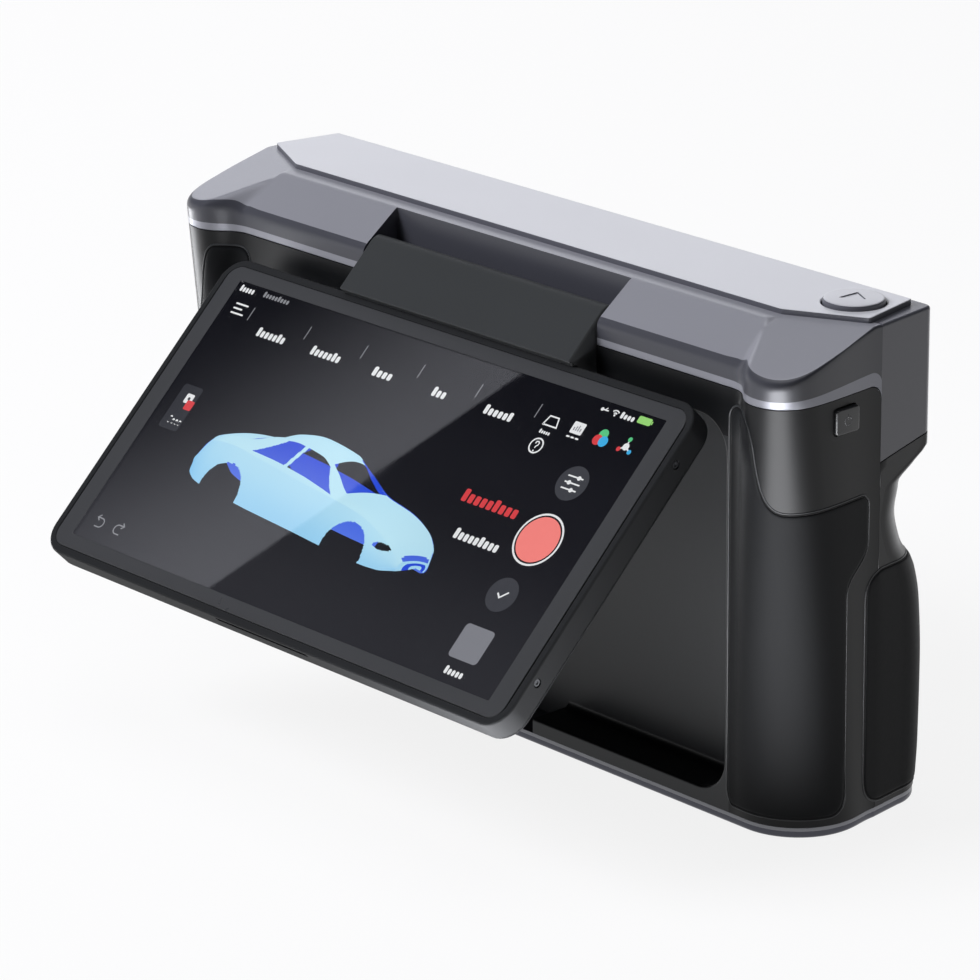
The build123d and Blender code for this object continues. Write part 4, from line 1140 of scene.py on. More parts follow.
def makeFrame():
    s = screen
    e, deep, total = s["edge"], s["deep"], s["backDeep"]
    stages = list(s["lipSteps"])
    stages += [(e * (1 - math.sin(a)), e * (1 - math.cos(a))) for a in np.linspace(0, math.pi / 2, 7)]
    stages += [(i, deep - d) for i, d in s["heelSteps"]]
    rings = [screenRing(s["halfW"] - i, s["halfH"] - i, s["round"] - i, d) for i, d in stages]
    points, faces = loftRings(rings, capStart=False, capEnd=False, closeLoft=True)
    piece = makePiece("screenFrame", swing(points), faces, frameCoat)
    slot = roundedRect(s["slotHalf"], s["slotTall"] / 2, s["slotTall"] / 2 - 0.01, 6)
    cutters = [[[(p[0], up, s["slotSet"] + p[1]) for p in slot]
        for up in (-s["halfH"] - 3, -s["halfH"] + s["slotDeep"])]]
    hole = s["screwHole"]
    for side in (-1, 1):
        for up in (-s["screwUp"], s["screwUp"]):
            reaches = (s["halfW"] - s["screwDeep"], s["halfW"] + 2)
            cutters.append([[(side * x, up + hole * c, s["screwSet"] + hole * d) for c, d in circle(24)]
                for x in reaches])
    cuts = []
    for rings in cutters:
        points, faces = loftRings(rings)
        cuts.append(makePiece("cutter", swing(points), faces, gapBlack))
    cutAway(piece, cuts, 32)
    place(piece, "screen", "screen_plastic", "screen_frame")
    stages = [(i, deep + d) for i, d in s["backLip"]]
    (inFrom, deepFrom), (inLess, deepLess) = s["backFrom"], s["backLess"]
    stages += [(inFrom + t * (total - inLess), deep + deepFrom + t * (total - deepLess)) for t in np.linspace(0, 1, 4)]
    stages += [(total + i, deep + total - d) for i, d in s["backHeel"]]
    rings = [screenRing(s["halfW"] - i, s["halfH"] - i, s["round"] - s["backRound"] * i, d) for i, d in stages]
    points, faces = loftRings(rings)
    back = makePiece("screenBack", swing(points), faces, frameCoat, 32)
    place(back, "screen", "screen_plastic", "screen_back")


def makeGlass():
    # the clear pane, and round it the border that is printed on the glass
    s, gap = screen, screen["paneGap"]
    rings = [screenRing(s["activeHalfW"] - gap, s["activeHalfH"] - gap, s["activeRound"], d)
        for d in (0.0, s["glassThick"])]
    points, faces = loftRings(rings)
    pane = makePiece("coverGlass", swing(points), faces, clearGlass, 30)
    place(pane, "screen", "cover_glass", "cover_glass")
    outer = [*s["glassEdge"], (0.0, s["glassThick"])]
    rings = [screenRing(s["activeHalfW"], s["activeHalfH"], s["activeRound"], d) for d in (s["glassThick"], 0.0)]
    rings += [screenRing(s["glassHalfW"] - i, s["glassHalfH"] - i, s["glassRound"] - i, d) for i, d in outer]
    points, faces = loftRings(rings, capStart=False, capEnd=False, closeLoft=True)
    border = makePiece("glassBorder", swing(points), faces, borderInk, 30)
    place(border, "screen", "cover_glass")


makeFrame()
makeGlass()
print("screen frame and glass made")


# What the display shows: a dark ground, greeked words, plain signs and a scanned form

shown = {
    "groundTop": "#0b0b12", "groundLow": "#2e2e33", "groundMid": "#17171d", "groundBreak": 0.6,
    "groundPast": (0.5, 0.3), "panelThick": 0.9,
    "white": "#f4f5f6", "grey": "#8f9095", "button": "#43444a", "tab": "#34353b", "thumb": "#85868d",
    "red": "#ff8a84", "warning": "#e2474c", "green": "#5fd08a", "battery": "#9fe07c", "blue": "#45b6ee",
    "front": 0.905, "thick": 0.02, "layerStep": 0.3, "skin": 0.012,
}
letters = {"heights": (1.0, 0.72, 0.72, 0.72, 0.72, 0.94, 0.72, 0.72, 0.72, 0.72), "pitch": 0.62, "wide": 0.74,
    "round": 0.4}
signs = {
    # words: left, right, height, size, colour
    "words": (
        (-67.2, -62.3, 32.8, 1.7, "white"), (-59.3, -50.5, 33.0, 1.5, "grey"), (-54.1, -44.6, 24.3, 2.3, "white"),
        (-35.7, -25.9, 24.3, 2.3, "white"),
        (-15.2, -8.8, 24.3, 2.3, "white"), (4.1, 8.5, 24.3, 2.3, "white"), (20.5, 29.3, 24.3, 2.3, "white"),
        (55.6, 59.8, 32.5, 1.6, "white"),
        (37.9, 41.1, 23.6, 1.0, "white"), (29.2, 46.2, 5.0, 3.0, "warning"), (33.2, 46.8, -3.4, 2.5, "white"),
        (52.3, 57.9, -31.2, 1.9, "white"),
        (-63.0, -58.4, -1.6, 1.9, "white")),
    # bars: left, right, height, tall, colour, layer, corner
    "bars": (
        (-65.6, -61.4, 29.0, 0.42, "white", 0, 0.3), (-65.6, -62.6, 27.8, 0.42, "white", 0, 0.3),
        (-65.6, -61.4, 26.6, 0.42, "white", 0, 0.3),
        (60.4, 64.2, 32.8, 1.7, "battery", 0, 0.4), (64.3, 64.6, 32.8, 0.8, "battery", 0, 0.1),
        (45.3, 46.3, 24.4, 0.4, "white", 0, 0.3), (46.6, 47.6, 24.4, 0.4, "white", 0, 0.3),
        (47.9, 48.9, 24.4, 0.4, "white", 0, 0.3)),
    "ticks": (-59.3, -39.9, -21.0, -2.4, 16.0, 34.4), "tickHalf": 0.12, "tickY": 27.6, "tickTall": 3.4,
    # discs: x, y, radius, colour, layer, hole
    "discs": (
        (50.1, 32.4, 0.42, "white", 0, 0), (54.0, 31.9, 0.25, "white", 0, 0), (54.4, 27.2, 1.25, "green", 0, 0),
        (53.6, 25.7, 1.25, "warning", 1, 0),
        (55.3, 25.7, 1.25, "blue", 2, 0), (61.7, 26.2, 0.85, "white", 1, 0), (39.4, 20.2, 1.9, "white", 0, 1.55),
        (39.4, 18.95, 0.2, "white", 0, 0),
        (54.3, 15.0, 4.1, "button", 0, 0), (54.8, 1.2, 6.2, "white", 0, 5.75), (54.8, 1.2, 5.35, "red", 0, 0),
        (54.6, -12.4, 4.0, "button", 0, 0),
        (-60.9, 4.2, 0.4, "tab", 2, 0)),
    # tiles: x, y, half width, half height, corner, corner steps, colour, layer
    "tiles": (
        (47.1, 26.7, 1.7, 1.4, 0.3, 4, "white", 0), (54.9, -24.4, 4.3, 4.0, 1.0, 5, "thumb", 0),
        (-61.6, 1.7, 3.2, 5.7, 0.8, 5, "tab", 0),
        (-60.9, 4.2, 1.25, 1.2, 0.4, 4, "white", 1), (-59.7, 2.7, 1.25, 1.2, 0.4, 4, "warning", 2)),
    # strokes: width, colour, layer, marks
    "strokes": (
        (0.3, "white", 0, ((49.9, 32.4), (51.9, 32.4))), (0.25, "white", 0, ((50.9, 32.4), (51.4, 33.0))),
        (0.34, "white", 0, ((37.6, 25.2), (38.3, 27.4), (40.9, 27.4), (41.6, 25.2), (37.4, 25.2))),
        (0.28, "white", 0, ((38.9, 20.6), (39.0, 21.1), (39.5, 21.25), (39.9, 20.9), (39.8, 20.4), (39.4, 20.0),
            (39.4, 19.6))),
        (0.38, "white", 1, ((53.3, -12.3), (54.3, -13.2), (56.0, -11.5)))),
    "fan": {"x": 54.0, "y": 31.9, "radii": (0.55, 1.15), "from": 0.7, "to": 2.44, "stroke": 0.3},
    "meter": {"x": 46.0, "y": 26.4, "pitch": 0.62, "wide": 0.3, "tall": 0.8, "lift": 0.15, "grow": 0.3, "round": 0.1},
    "node": {"x": 61.7, "y": 26.2, "reach": 1.8, "tip": 0.55, "stroke": 0.34,
        "arms": ((1.57, "green"), (3.67, "warning"), (5.76, "blue"))},
    "sliders": {"x": 54.3, "half": 2.2, "y": 16.5, "pitch": 1.5, "knobs": (1.0, -0.9, 0.7), "knob": 0.52,
        "stroke": 0.34},
    "arrows": {"at": ((-63.0, 1), (-56.4, -1)), "y": -29.5, "radius": 1.1, "bend": 0.3, "tail": 1.0, "neck": 1.2,
        "head": ((0.5, 0.7), (1.3, 0.0), (0.5, -0.7)), "stroke": 0.3},
}


def paint(piece, colours):
    # one colour for each corner of each face, read by the display's glow
    layer = piece.data.color_attributes.new("glow", "FLOAT_COLOR", "CORNER")
    layer.data.foreach_set("color", np.asarray(colours, np.float32).ravel())


def newSheet():
    return {"points": [], "faces": [], "colours": []}


def addShape(sheet, outline, colour, layer=0, holes=()):
    flat, triangles = fillFlat(outline, holes)
    start = len(sheet["points"])
    depth = shown["front"] + shown["thick"] * (1 - layer * shown["layerStep"])
    sheet["points"] += [(p[0], p[1], depth) for p in flat]
    sheet["faces"] += [tuple(start + k for k in face) for face in triangles]
    sheet["colours"] += [linearColour(shown[colour])] * len(triangles)


def addDisc(sheet, x, y, radius, colour, layer=0, inner=0.0):
    ring = np.array(circle(40))
    addShape(sheet, (x, y) + radius * ring, colour, layer, [(x, y) + inner * ring] if inner else ())


def addBar(sheet, x0, x1, y, tall, colour, layer=0, radius=0.3):
    half = (x1 - x0) / 2
    addShape(sheet, ((x0 + x1) / 2, y) + roundedRect(half, tall / 2, min(radius, half - 0.01, tall / 2 - 0.01), 4),
        colour, layer)


def addStroke(sheet, marks, wide, colour, layer=0):
    # line of even width through the marks
    left = insetLine(marks, wide / 2, closed=False)
    right = insetLine(marks, -wide / 2, closed=False)
    addShape(sheet, np.vstack([right, left[::-1]]), colour, layer)


def addWord(sheet, x0, x1, y, tall, colour):
    # greeked letters: uneven short blocks, no writing
    heights = letters["heights"]
    count = max(int(round((x1 - x0) / (letters["pitch"] * tall))), 2)
    pitch = (x1 - x0) / count
    for k in range(count):
        high = tall * heights[k % len(heights)]
        at = x0 + k * pitch
        addBar(sheet, at, at + pitch * letters["wide"], y - tall / 2 + high / 2, high, colour, 0, letters["round"])


def makeGround():
    s = screen
    past = shown["groundPast"]
    xs = np.linspace(-s["activeHalfW"] - past[0], s["activeHalfW"] + past[0], 49)
    ys = np.linspace(-s["activeHalfH"] - past[1], s["activeHalfH"] + past[1], 25)
    def sheet(depth):
        return [[(x, y, depth) for x in xs] for y in ys]
    points, faces = loftRings(sheet(s["panelDeep"]), closeRing=False, capStart=False, capEnd=False)
    back, under = loftRings(sheet(s["panelDeep"] + shown["panelThick"]), closeRing=False, capStart=False, capEnd=False)
    count = len(points)
    wide, tall = len(xs), len(ys)
    rim = [(0, k) for k in range(wide)] + [(r, wide - 1) for r in range(1, tall)]
    rim += [(tall - 1, k) for k in range(wide - 2, -1, -1)] + [(r, 0) for r in range(tall - 2, 0, -1)]
    rim = [r * wide + k for r, k in rim]
    faces += [tuple(count + k for k in face) for face in under]
    faces += [(rim[k], rim[(k + 1) % len(rim)], count + rim[(k + 1) % len(rim)], count + rim[k])
        for k in range(len(rim))]
    everything = np.vstack([points, back])
    panel = makePiece("displayPanel", swing(everything), faces, displayGlow)
    place(panel, "screen", "display", "display_panel")
    flat = unswing(panel)  # the ground darkens towards the top
    t = np.clip((flat[:, 1] + s["activeHalfH"]) / (2 * s["activeHalfH"]), 0, 1)
    low, middle, top = (np.array(linearColour(shown[k])) for k in ("groundLow", "groundMid", "groundTop"))
    split = shown["groundBreak"]
    lower = mix(low, middle, smoothStep(t / split)[:, None])
    upper = mix(middle, top, smoothStep((t - split) / (1 - split))[:, None])
    colours = np.where((t < split)[:, None], lower, upper)
    paint(panel, colours)


def unswing(piece):
    # screen coordinates of every face corner
    mesh = piece.data
    spots = np.zeros(len(mesh.vertices) * 3)
    mesh.vertices.foreach_get("co", spots)
    corners = np.zeros(len(mesh.loops), int)
    mesh.loops.foreach_get("vertex_index", corners)
    p = spots.reshape(-1, 3)[corners] / mm
    a = math.radians(hinge["openAngle"])
    y, z = p[:, 1] - hinge["y"], p[:, 2] - hinge["z"]
    return np.column_stack([p[:, 0], hinge["z"] + y * math.sin(a) + z * math.cos(a) - screen["middleZ"],
        hinge["y"] + y * math.cos(a) - z * math.sin(a) - screen["glassY"]])


def makeSigns():
    g, sheet = signs, newSheet()
    for word in g["words"]:
        addWord(sheet, *word)
    for bar in g["bars"]:
        addBar(sheet, *bar)
    for x in g["ticks"]:
        addBar(sheet, x - g["tickHalf"], x + g["tickHalf"], g["tickY"], g["tickTall"], "grey", 0, 0.1)
    for disc in g["discs"]:
        addDisc(sheet, *disc)
    for x, y, halfW, halfH, radius, steps, colour, layer in g["tiles"]:
        addShape(sheet, (x, y) + roundedRect(halfW, halfH, radius, steps), colour, layer)
    for wide, colour, layer, marks in g["strokes"]:
        addStroke(sheet, marks, wide, colour, layer)
    f = g["fan"]
    for r in f["radii"]:
        arc = [(f["x"] + r * math.cos(a), f["y"] + r * math.sin(a)) for a in np.linspace(f["from"], f["to"], 8)]
        addStroke(sheet, arc, f["stroke"], "white")
    m = g["meter"]
    for k in range(4):
        left, step = m["x"] + m["pitch"] * k, k % 3
        addBar(sheet, left, left + m["wide"], m["y"] + m["lift"] * step, m["tall"] + m["grow"] * step, "thumb", 1,
            m["round"])
    n = g["node"]
    for a, colour in n["arms"]:
        tip = (n["x"] + n["reach"] * math.cos(a), n["y"] + n["reach"] * math.sin(a))
        addStroke(sheet, [(n["x"], n["y"]), tip], n["stroke"], "white")
        addDisc(sheet, *tip, n["tip"], colour, 1)
    b = g["sliders"]
    for k, knob in enumerate(b["knobs"]):
        y = b["y"] - b["pitch"] * k
        addStroke(sheet, [(b["x"] - b["half"], y), (b["x"] + b["half"], y)], b["stroke"], "white", 1)
        addDisc(sheet, b["x"] + knob, y, b["knob"], "white", 2)
    w = g["arrows"]
    r, y = w["radius"], w["y"]
    for x, way in w["at"]:
        arc = [(x + way * (w["bend"] + r * math.cos(a)), y + r * math.sin(a)) for a in np.linspace(-1.57, 1.57, 10)]
        addStroke(sheet, [(x - way * w["tail"], y - r)] + arc + [(x - way * w["neck"], y + r)], w["stroke"], "grey")
        addStroke(sheet, [(x - way * back, y + r + up) for back, up in w["head"]], w["stroke"], "grey")
    piece = makePiece("displaySigns", swing(sheet["points"]), sheet["faces"], displayGlow, 35, False)
    thicken(piece, sheet["colours"], shown["skin"])
    place(piece, "screen", "display")


def thicken(piece, colours, thickness):
    # flat signs become thin closed prisms, so that the meshes have no open sheets
    counts = [len(p.vertices) for p in piece.data.polygons]
    paint(piece, np.repeat(np.asarray(colours), counts, axis=0))
    toward = sum((p.normal * p.area for p in piece.data.polygons), Vector())
    if toward.y > 0:
        piece.data.flip_normals()
    giveThickness(piece, thickness)


# The scanned form on the display: a plain car body of the script's own, laid flat behind the glass

form = {
    "stations": 300, "yaw": 27.0, "tilt": 7.0, "left": -48.5, "right": 32.2, "low": -17.2, "front": 0.912,
    "flat": 0.036,
    "at": (-2.15, -2.02, -1.75, -1.4, -1.0, -0.55, -0.1, 0.3, 0.78, 1.2, 1.65, 1.95, 2.15),
    "top": (0.58, 0.86, 0.97, 1.02, 1.19, 1.28, 1.26, 1.11, 0.9, 0.85, 0.75, 0.62, 0.44),
    "belt": (0.54, 0.74, 0.84, 0.87, 0.85, 0.83, 0.81, 0.8, 0.79, 0.77, 0.68, 0.55, 0.38),
    "sill": (0.44, 0.33, 0.27, 0.25, 0.24, 0.23, 0.23, 0.23, 0.23, 0.23, 0.23, 0.24, 0.29),
    "wide": (0.6, 0.76, 0.88, 0.92, 0.9, 0.88, 0.88, 0.88, 0.91, 0.92, 0.86, 0.72, 0.48),
    "arches": ((1.3, 0.29, 0.37), (-1.28, 0.29, 0.38)), "skin": 0.0012,
    "sideGlass": ((-1.22, -0.72), (0.66, 0.12)), "sideFrom": 0.14, "sideTo": 0.9,
    "pillar": ((-0.5, -0.44), (-0.43, -0.37)),
    "roofFrom": 0.12, "frontGlass": (0.16, 0.72), "backGlass": (-1.38, -0.92), "lampAt": (1.86, 0.52),
    "lampSize": (0.13, 0.045),
    "roofShare": (0.84, 0.62), "roofRise": 0.4, "roofDrop": (0.05, 0.015), "sunFrom": (0.35, -0.45, 0.82),
    "noseReach": 0.06, "tailReach": -0.05, "endZ": 0.36, "endRings": (0.72, 0.4, 0.02),
    "pale": "#c6f0ff", "mid": "#78c4f6", "inside": "#2b4fe0", "insidePale": "#6f92f6",
}


def makeForm():
    f = form
    xs = np.linspace(f["at"][0], f["at"][-1], f["stations"])
    top, belt, sill, wide = (easeThrough(xs, f["at"], f[k]) for k in ("top", "belt", "sill", "wide"))
    rise = np.clip((top - belt) / f["roofRise"], 0, 1)
    roofHalf = wide * mix(*f["roofShare"], rise)
    edge = top - f["roofDrop"][0] * rise - f["roofDrop"][1]
    rows = []  # each is (kind, share, y, z) from the near sill over the roof
    for t in np.linspace(0, 1, 34):
        rows.append((0, t, -wide * (0.9 + 0.1 * math.sin(math.pi * (0.12 + 0.7 * t))), mix(sill, belt, t)))
    start = rows[-1][2]
    for t in np.linspace(0, 1, 22)[1:]:
        rows.append((1, t, mix(start, -roofHalf, t), mix(belt, edge, t ** 0.9)))
    for t in np.linspace(0, 1, 11)[1:]:
        rows.append((2, t, -roofHalf * (1 - t), mix(edge, top, math.sin(math.pi * t / 2))))
    rows += [(kind, t, -y, z) for kind, t, y, z in rows[::-1][1:]]
    grid = np.array([np.column_stack([xs, y, z]) for kind, t, y, z in rows])
    kind = np.array([row[0] for row in rows])
    share = np.array([row[1] for row in rows])
    corners = np.stack([grid[:-1, :-1], grid[:-1, 1:], grid[1:, 1:], grid[1:, :-1]], 2)
    middle = corners.mean(2)
    x, y, z = middle[..., 0], middle[..., 1], middle[..., 2]
    over = np.where(kind[:-1] > kind[1:], share[:-1], share[1:])
    t = np.where(kind[:-1] == kind[1:], (share[:-1] + share[1:]) / 2, over)[:, None]
    kind = np.maximum(kind[:-1], kind[1:])[:, None]
    hole = np.zeros(x.shape, bool)
    for ax, az, ar in f["arches"]:
        hole |= (kind == 0) & (np.hypot(x - ax, z - az) < ar)
    def between(low, high):
        return (x > low) & (x < high)
    pillar = between(*(mix(*ends, t) for ends in f["pillar"]))
    pane = between(*(mix(*ends, t) for ends in f["sideGlass"]))
    hole |= (kind == 1) & (t > f["sideFrom"]) & (t < f["sideTo"]) & pane & ~pillar
    hole |= (kind == 2) & (t > f["roofFrom"]) & (between(*f["frontGlass"]) | between(*f["backGlass"]))
    (lampX, lampZ), (lampWide, lampTall) = f["lampAt"], f["lampSize"]
    hole |= (kind == 0) & (np.hypot((x - lampX) / lampWide, (z - lampZ) / lampTall) < 1)
    normal = np.cross(corners[:, :, 2] - corners[:, :, 0], corners[:, :, 3] - corners[:, :, 1])
    normal /= np.maximum(np.linalg.norm(normal, axis=2), 1e-9)[..., None]
    outward = normal[..., 1] * y + normal[..., 2] * (z - 0.5)
    normal *= np.where(outward < 0, -1, 1)[..., None]
    yaw, tilt = math.radians(f["yaw"]), math.radians(f["tilt"])
    pale, dull, inside, insidePale = (np.array(linearColour(f[k])) for k in ("pale", "mid", "inside", "insidePale"))
    lit = np.clip((0.5 + 0.5 * normal @ np.array(f["sunFrom"])) * 1.5 - 0.45, 0, 1)
    outside = mix(dull, pale, lit[..., None])
    within = mix(inside, insidePale, (np.clip(0.9 - z, 0, 1) * 0.8)[..., None])
    toward = np.array((math.sin(yaw) * math.cos(tilt), -math.cos(yaw) * math.cos(tilt), math.sin(tilt)))
    shade = np.where((normal @ toward > 0)[..., None], outside, within)
    count = len(xs)
    faces, shades = [], []
    for r, c in zip(*np.nonzero(~hole)):
        faces.append((r * count + c, r * count + c + 1, (r + 1) * count + c + 1, (r + 1) * count + c))
        shades.append(shade[r, c])
    # nose and tail are closed by fans of faces, the nose with a dark mouth
    points = [tuple(p) for p in grid.reshape(-1, 3)]
    for end, reach in ((count - 1, f["noseReach"]), (0, f["tailReach"])):
        rim = [r * count + end for r in range(len(rows))]
        for step in f["endRings"]:
            ring = [(x + reach * (1 - step ** 2), y * step, mix(f["endZ"], z, step)) for x, y, z in grid[:, end]]
            fresh = [len(points) + r for r in range(len(rows))]
            points += ring
            mouth = end > 0 and step == f["endRings"][1]
            for r in range(len(rows) - 1):
                faces.append((rim[r], rim[r + 1], fresh[r + 1], fresh[r]))
                shades.append(inside if mouth else mix(dull, pale, 0.6))
            rim = fresh
    points = np.array(points)
    ahead = points[:, 0] * math.sin(yaw) - points[:, 1] * math.cos(yaw)
    across = points[:, 0] * math.cos(yaw) + points[:, 1] * math.sin(yaw)
    up = points[:, 2] * math.cos(tilt) - ahead * math.sin(tilt)
    near = ahead * math.cos(tilt) + points[:, 2] * math.sin(tilt)
    size = (f["right"] - f["left"]) / (across.max() - across.min())
    depth = f["front"] + f["flat"] * (near.max() - near) / (near.max() - near.min())
    spots = np.column_stack([f["left"] + (across - across.min()) * size, f["low"] + (up - up.min()) * size, depth])
    used = sorted({k for face in faces for k in face})
    slotOf = {k: i for i, k in enumerate(used)}
    car = makePiece("displayForm", swing(spots[used]), [tuple(slotOf[k] for k in face) for face in faces], displayGlow,
        35, False)
    thicken(car, shades, f["skin"])
    place(car, "screen", "display")


makeGround()
makeSigns()
makeForm()
print("display made")


# Hinge bracket between screen and body

bracket = {
    "half": 36.8, "end": 0.4, "endStep": 0.12, "endShare": 0.45, "up": 50.5, "behind": 3.1,
    "section": ((-5.0, -11.6, 0.3), (-5.0, 4.2, 3.0), (4.1, 4.2, 3.4), (4.1, -7.0, 0.5), (2.5, -11.1, 0.4),
        (-3.1, -11.1, 0), (-3.1, -11.6, 0.25)),
}


def makeBracket():
    b = bracket
    line = roundCorners(b["section"], 9)
    rings = []
    ends = [(b["half"], b["end"]), (b["half"] - b["endStep"], b["endShare"] * b["end"]), (b["half"] - b["end"], 0.0)]
    for x, inset in [(-x, inset) for x, inset in ends] + ends[::-1]:
        ring = insetLine(line, -inset)
        rings.append([(x, p[1] + b["up"], p[0] + b["behind"]) for p in ring])
    points, faces = loftRings(rings)
    piece = makePiece("hingeBracket", swing(points), faces, bracketCoat, 30)
    place(piece, "screen", "dark_bracket", "hinge_bracket")


makeBracket()
print("bracket made")


# Buttons

scanKey = {"radius": 6.5, "sideFacing": 0.8, "rim": 7.2, "rimLow": 104.6, "rimHigh": 105.6, "top": 110.0, "edge": 0.55,
           "mark": ((81.5, 5.7, 0.5), (86.5, 8.9, 0.5), (81.7, 11.35, 0.5)), "markDeep": 0.22, "markSlope": 0.16}
powerKey = {"y": -7.4, "z": 90.4, "halfY": 3.3, "halfZ": 2.7, "round": 0.7, "face": 97.6, "edge": 0.35,
    "flangeLow": 93.2, "flangeHigh": 94.1, "flange": 0.9,
            "ring": 0.95, "arc": (125, 415), "bar": (0.25, 1.35), "stroke": 0.2, "markLift": 0.012, "markSkin": 0.03}


def makeScanKey():
    k = scanKey
    disc = np.array(circle(72))
    stages = [(k["rim"], k["rimLow"]), (k["rim"], k["rimHigh"] - 0.2), (k["rim"] - 0.2, k["rimHigh"]),
        (k["radius"], k["rimHigh"])]
    stages += [(k["radius"] - k["edge"] * (1 - math.cos(a)), k["top"] - k["edge"] * (1 - math.sin(a)))
        for a in np.linspace(0, math.pi / 2, 8)]
    rings = [atHeight(plan["buttonAt"] + r * disc, z) for r, z in stages]
    points, faces = loftRings(rings, capEnd=False)
    top = [tuple(p[:2]) for p in rings[-1]]
    mark = roundCorners(k["mark"], 6)
    low = insetLine(mark, k["markSlope"])
    flat, triangles = fillFlat(top, [mark])
    start = len(points)
    points += [(p[0], p[1], k["top"]) for p in flat]
    faces += [tuple(start + i for i in t) for t in triangles]
    wall, wallFaces = loftRings([atHeight(mark, k["top"]), atHeight(low, k["top"] - k["markDeep"])], capStart=False)
    start = len(points)
    points += wall
    faces += [tuple(start + i for i in face) for face in wallFaces]
    key = makePiece("scanKey", points, faces, keyPaintAndHighlight, 30)
    # painted shade: the key's upright sides get the darker slate grey
    tint(key, slateAndShadePaint, lambda at, way: abs(way.z) < k["sideFacing"])
    place(key, "scan_button", "scan_button", "scan_button")


def makePowerKey():
    k = powerKey
    stages = [(k["flangeLow"], k["flange"]), (k["flangeHigh"], k["flange"]), (k["flangeHigh"], 0.0)]
    stages += [(k["face"] - k["edge"] * (1 - math.sin(a)), -k["edge"] * (1 - math.cos(a)))
        for a in np.linspace(0, math.pi / 2, 6)]
    rings = []
    for x, grow in stages:
        rings.append([(x, k["y"] + p[0], k["z"] + p[1]) for p in roundedRect(k["halfY"] + grow, k["halfZ"] + grow,
            k["round"] + grow * 0.8, 6)])
    key = makePiece("powerKey", *loftRings(rings), powerPaint, 30)
    place(key, "power_button", "power_button", "power_button")
    sheet = newSheet()
    ring = [(k["ring"] * math.cos(a), k["ring"] * math.sin(a)) for a in np.linspace(*np.radians(k["arc"]), 24)]
    addStroke(sheet, ring, k["stroke"], "white")
    addStroke(sheet, [(0, up) for up in k["bar"]], k["stroke"], "white")
    points = [(k["face"] + k["markLift"], k["y"] + p[0], k["z"] + p[1]) for p in sheet["points"]]
    mark = makePiece("powerMark", points, sheet["faces"], powerPrint, 35, False)
    if sum((p.normal * p.area for p in mark.data.polygons), Vector()).x < 0:
        mark.data.flip_normals()
    giveThickness(mark, k["markSkin"])
    place(mark, "power_button", "power_button")


makeScanKey()
makePowerKey()
print("buttons made")


# Window on the front with the lenses and lamps behind its openings

lensRow = {
    "cameras": ("far_camera_left", "near_camera_left", "colour_camera", "near_camera_right", "far_camera_right"),
    "projectors": ("far_projector", "near_projector"),
    "lamps": ("fill_light_left", "fill_light_right"), "z": 91.6, "face": 21.1, "halfW": 87.0, "halfH": 8.6,
    "round": 4.0, "thick": 1.4, "clear": 0.15,
    "edgeSteps": ((0.35, 0.0), (0.12, 0.07), (0.02, 0.2), (0.0, 0.35)), "holeBevel": 0.35,
    # barrel and reflector: share of the radius, added, depth under the face
    "barrelSteps": ((1, 0, 0.22), (1, -0.22, 0), (1, -0.5, 0), (0.82, 0, 0.35), (0.8, 0, 0.36), (0.8, 0, 0.62),
        (0.68, 0, 0.64), (0.66, 0, 0.95)),
    "dishSteps": ((1, 0, 0.2), (1, -0.2, 0), (1, -0.4, 0), (0.55, 0, 1.1), (0, 0, 1.1)),
    "throat": ((0.04, 1.0), (0.02, 1.15)), "cameraGlass": 0.5, "projectorGlass": 0.62, "glassDeep": 1.1,
    "glassHigh": 0.16, "lampGlass": 0.5, "lampDeep": 1.05, "lampHigh": 0.3,
}


def lensSize(node):
    low, high = (np.array(c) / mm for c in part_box(node))
    return (low[0] + high[0]) / 2, (high[0] - low[0]) / 2, low[1], high[1]


def spun(name, profile, x, material, sharp=28):
    # profile is (radius, y), turned about the lens axis
    rings = []
    for radius, y in profile:
        radius = max(radius, 0.002)
        rings.append([(x + radius * c, y, lensRow["z"] + radius * s) for c, s in circle(56)])
    return makePiece(name, *loftRings(rings), material, sharp)


def dome(reach, foot, high, steps=9):
    return [(reach, foot - 0.25)] + [(reach * math.cos(a), foot + high * math.sin(a))
        for a in np.linspace(0, math.pi / 2, steps)]


def makeLenses():
    w = lensRow
    for node in w["cameras"] + w["projectors"]:
        x, r, back, face = lensSize(node)
        camera = node in w["cameras"]
        wide = w["cameraGlass"] if camera else w["projectorGlass"]
        profile = [(0.0, back), (r, back)] + [(r * share + more, face - deep) for share, more, deep in w["barrelSteps"]]
        profile += [(r * (wide + more), face - deep) for more, deep in w["throat"]] + [(0.0, face - w["throat"][-1][1])]
        name = node.replace("_", "-")
        place(spun(name + "-barrel", profile, x, lensBlack), "scanner_body", "lens_black", node)
        bulge = dome(r * wide, face - w["glassDeep"], r * w["glassHigh"])
        place(spun(name + "-glass", bulge, x, lensGlass if camera else projectorGlass, 60), "scanner_body",
            "lens_black")
    for node in w["lamps"]:
        x, r, back, face = lensSize(node)
        profile = [(0.0, back), (r, back)] + [(r * share + more, face - deep) for share, more, deep in w["dishSteps"]]
        name = node.replace("_", "-")
        place(spun(name + "-reflector", profile, x, lampReflector), "scanner_body", "lamp", node)
        bulge = dome(r * w["lampGlass"], face - w["lampDeep"], r * w["lampHigh"])
        place(spun(name + "-diffuser", bulge, x, lampDiffuser, 60), "scanner_body", "lamp")


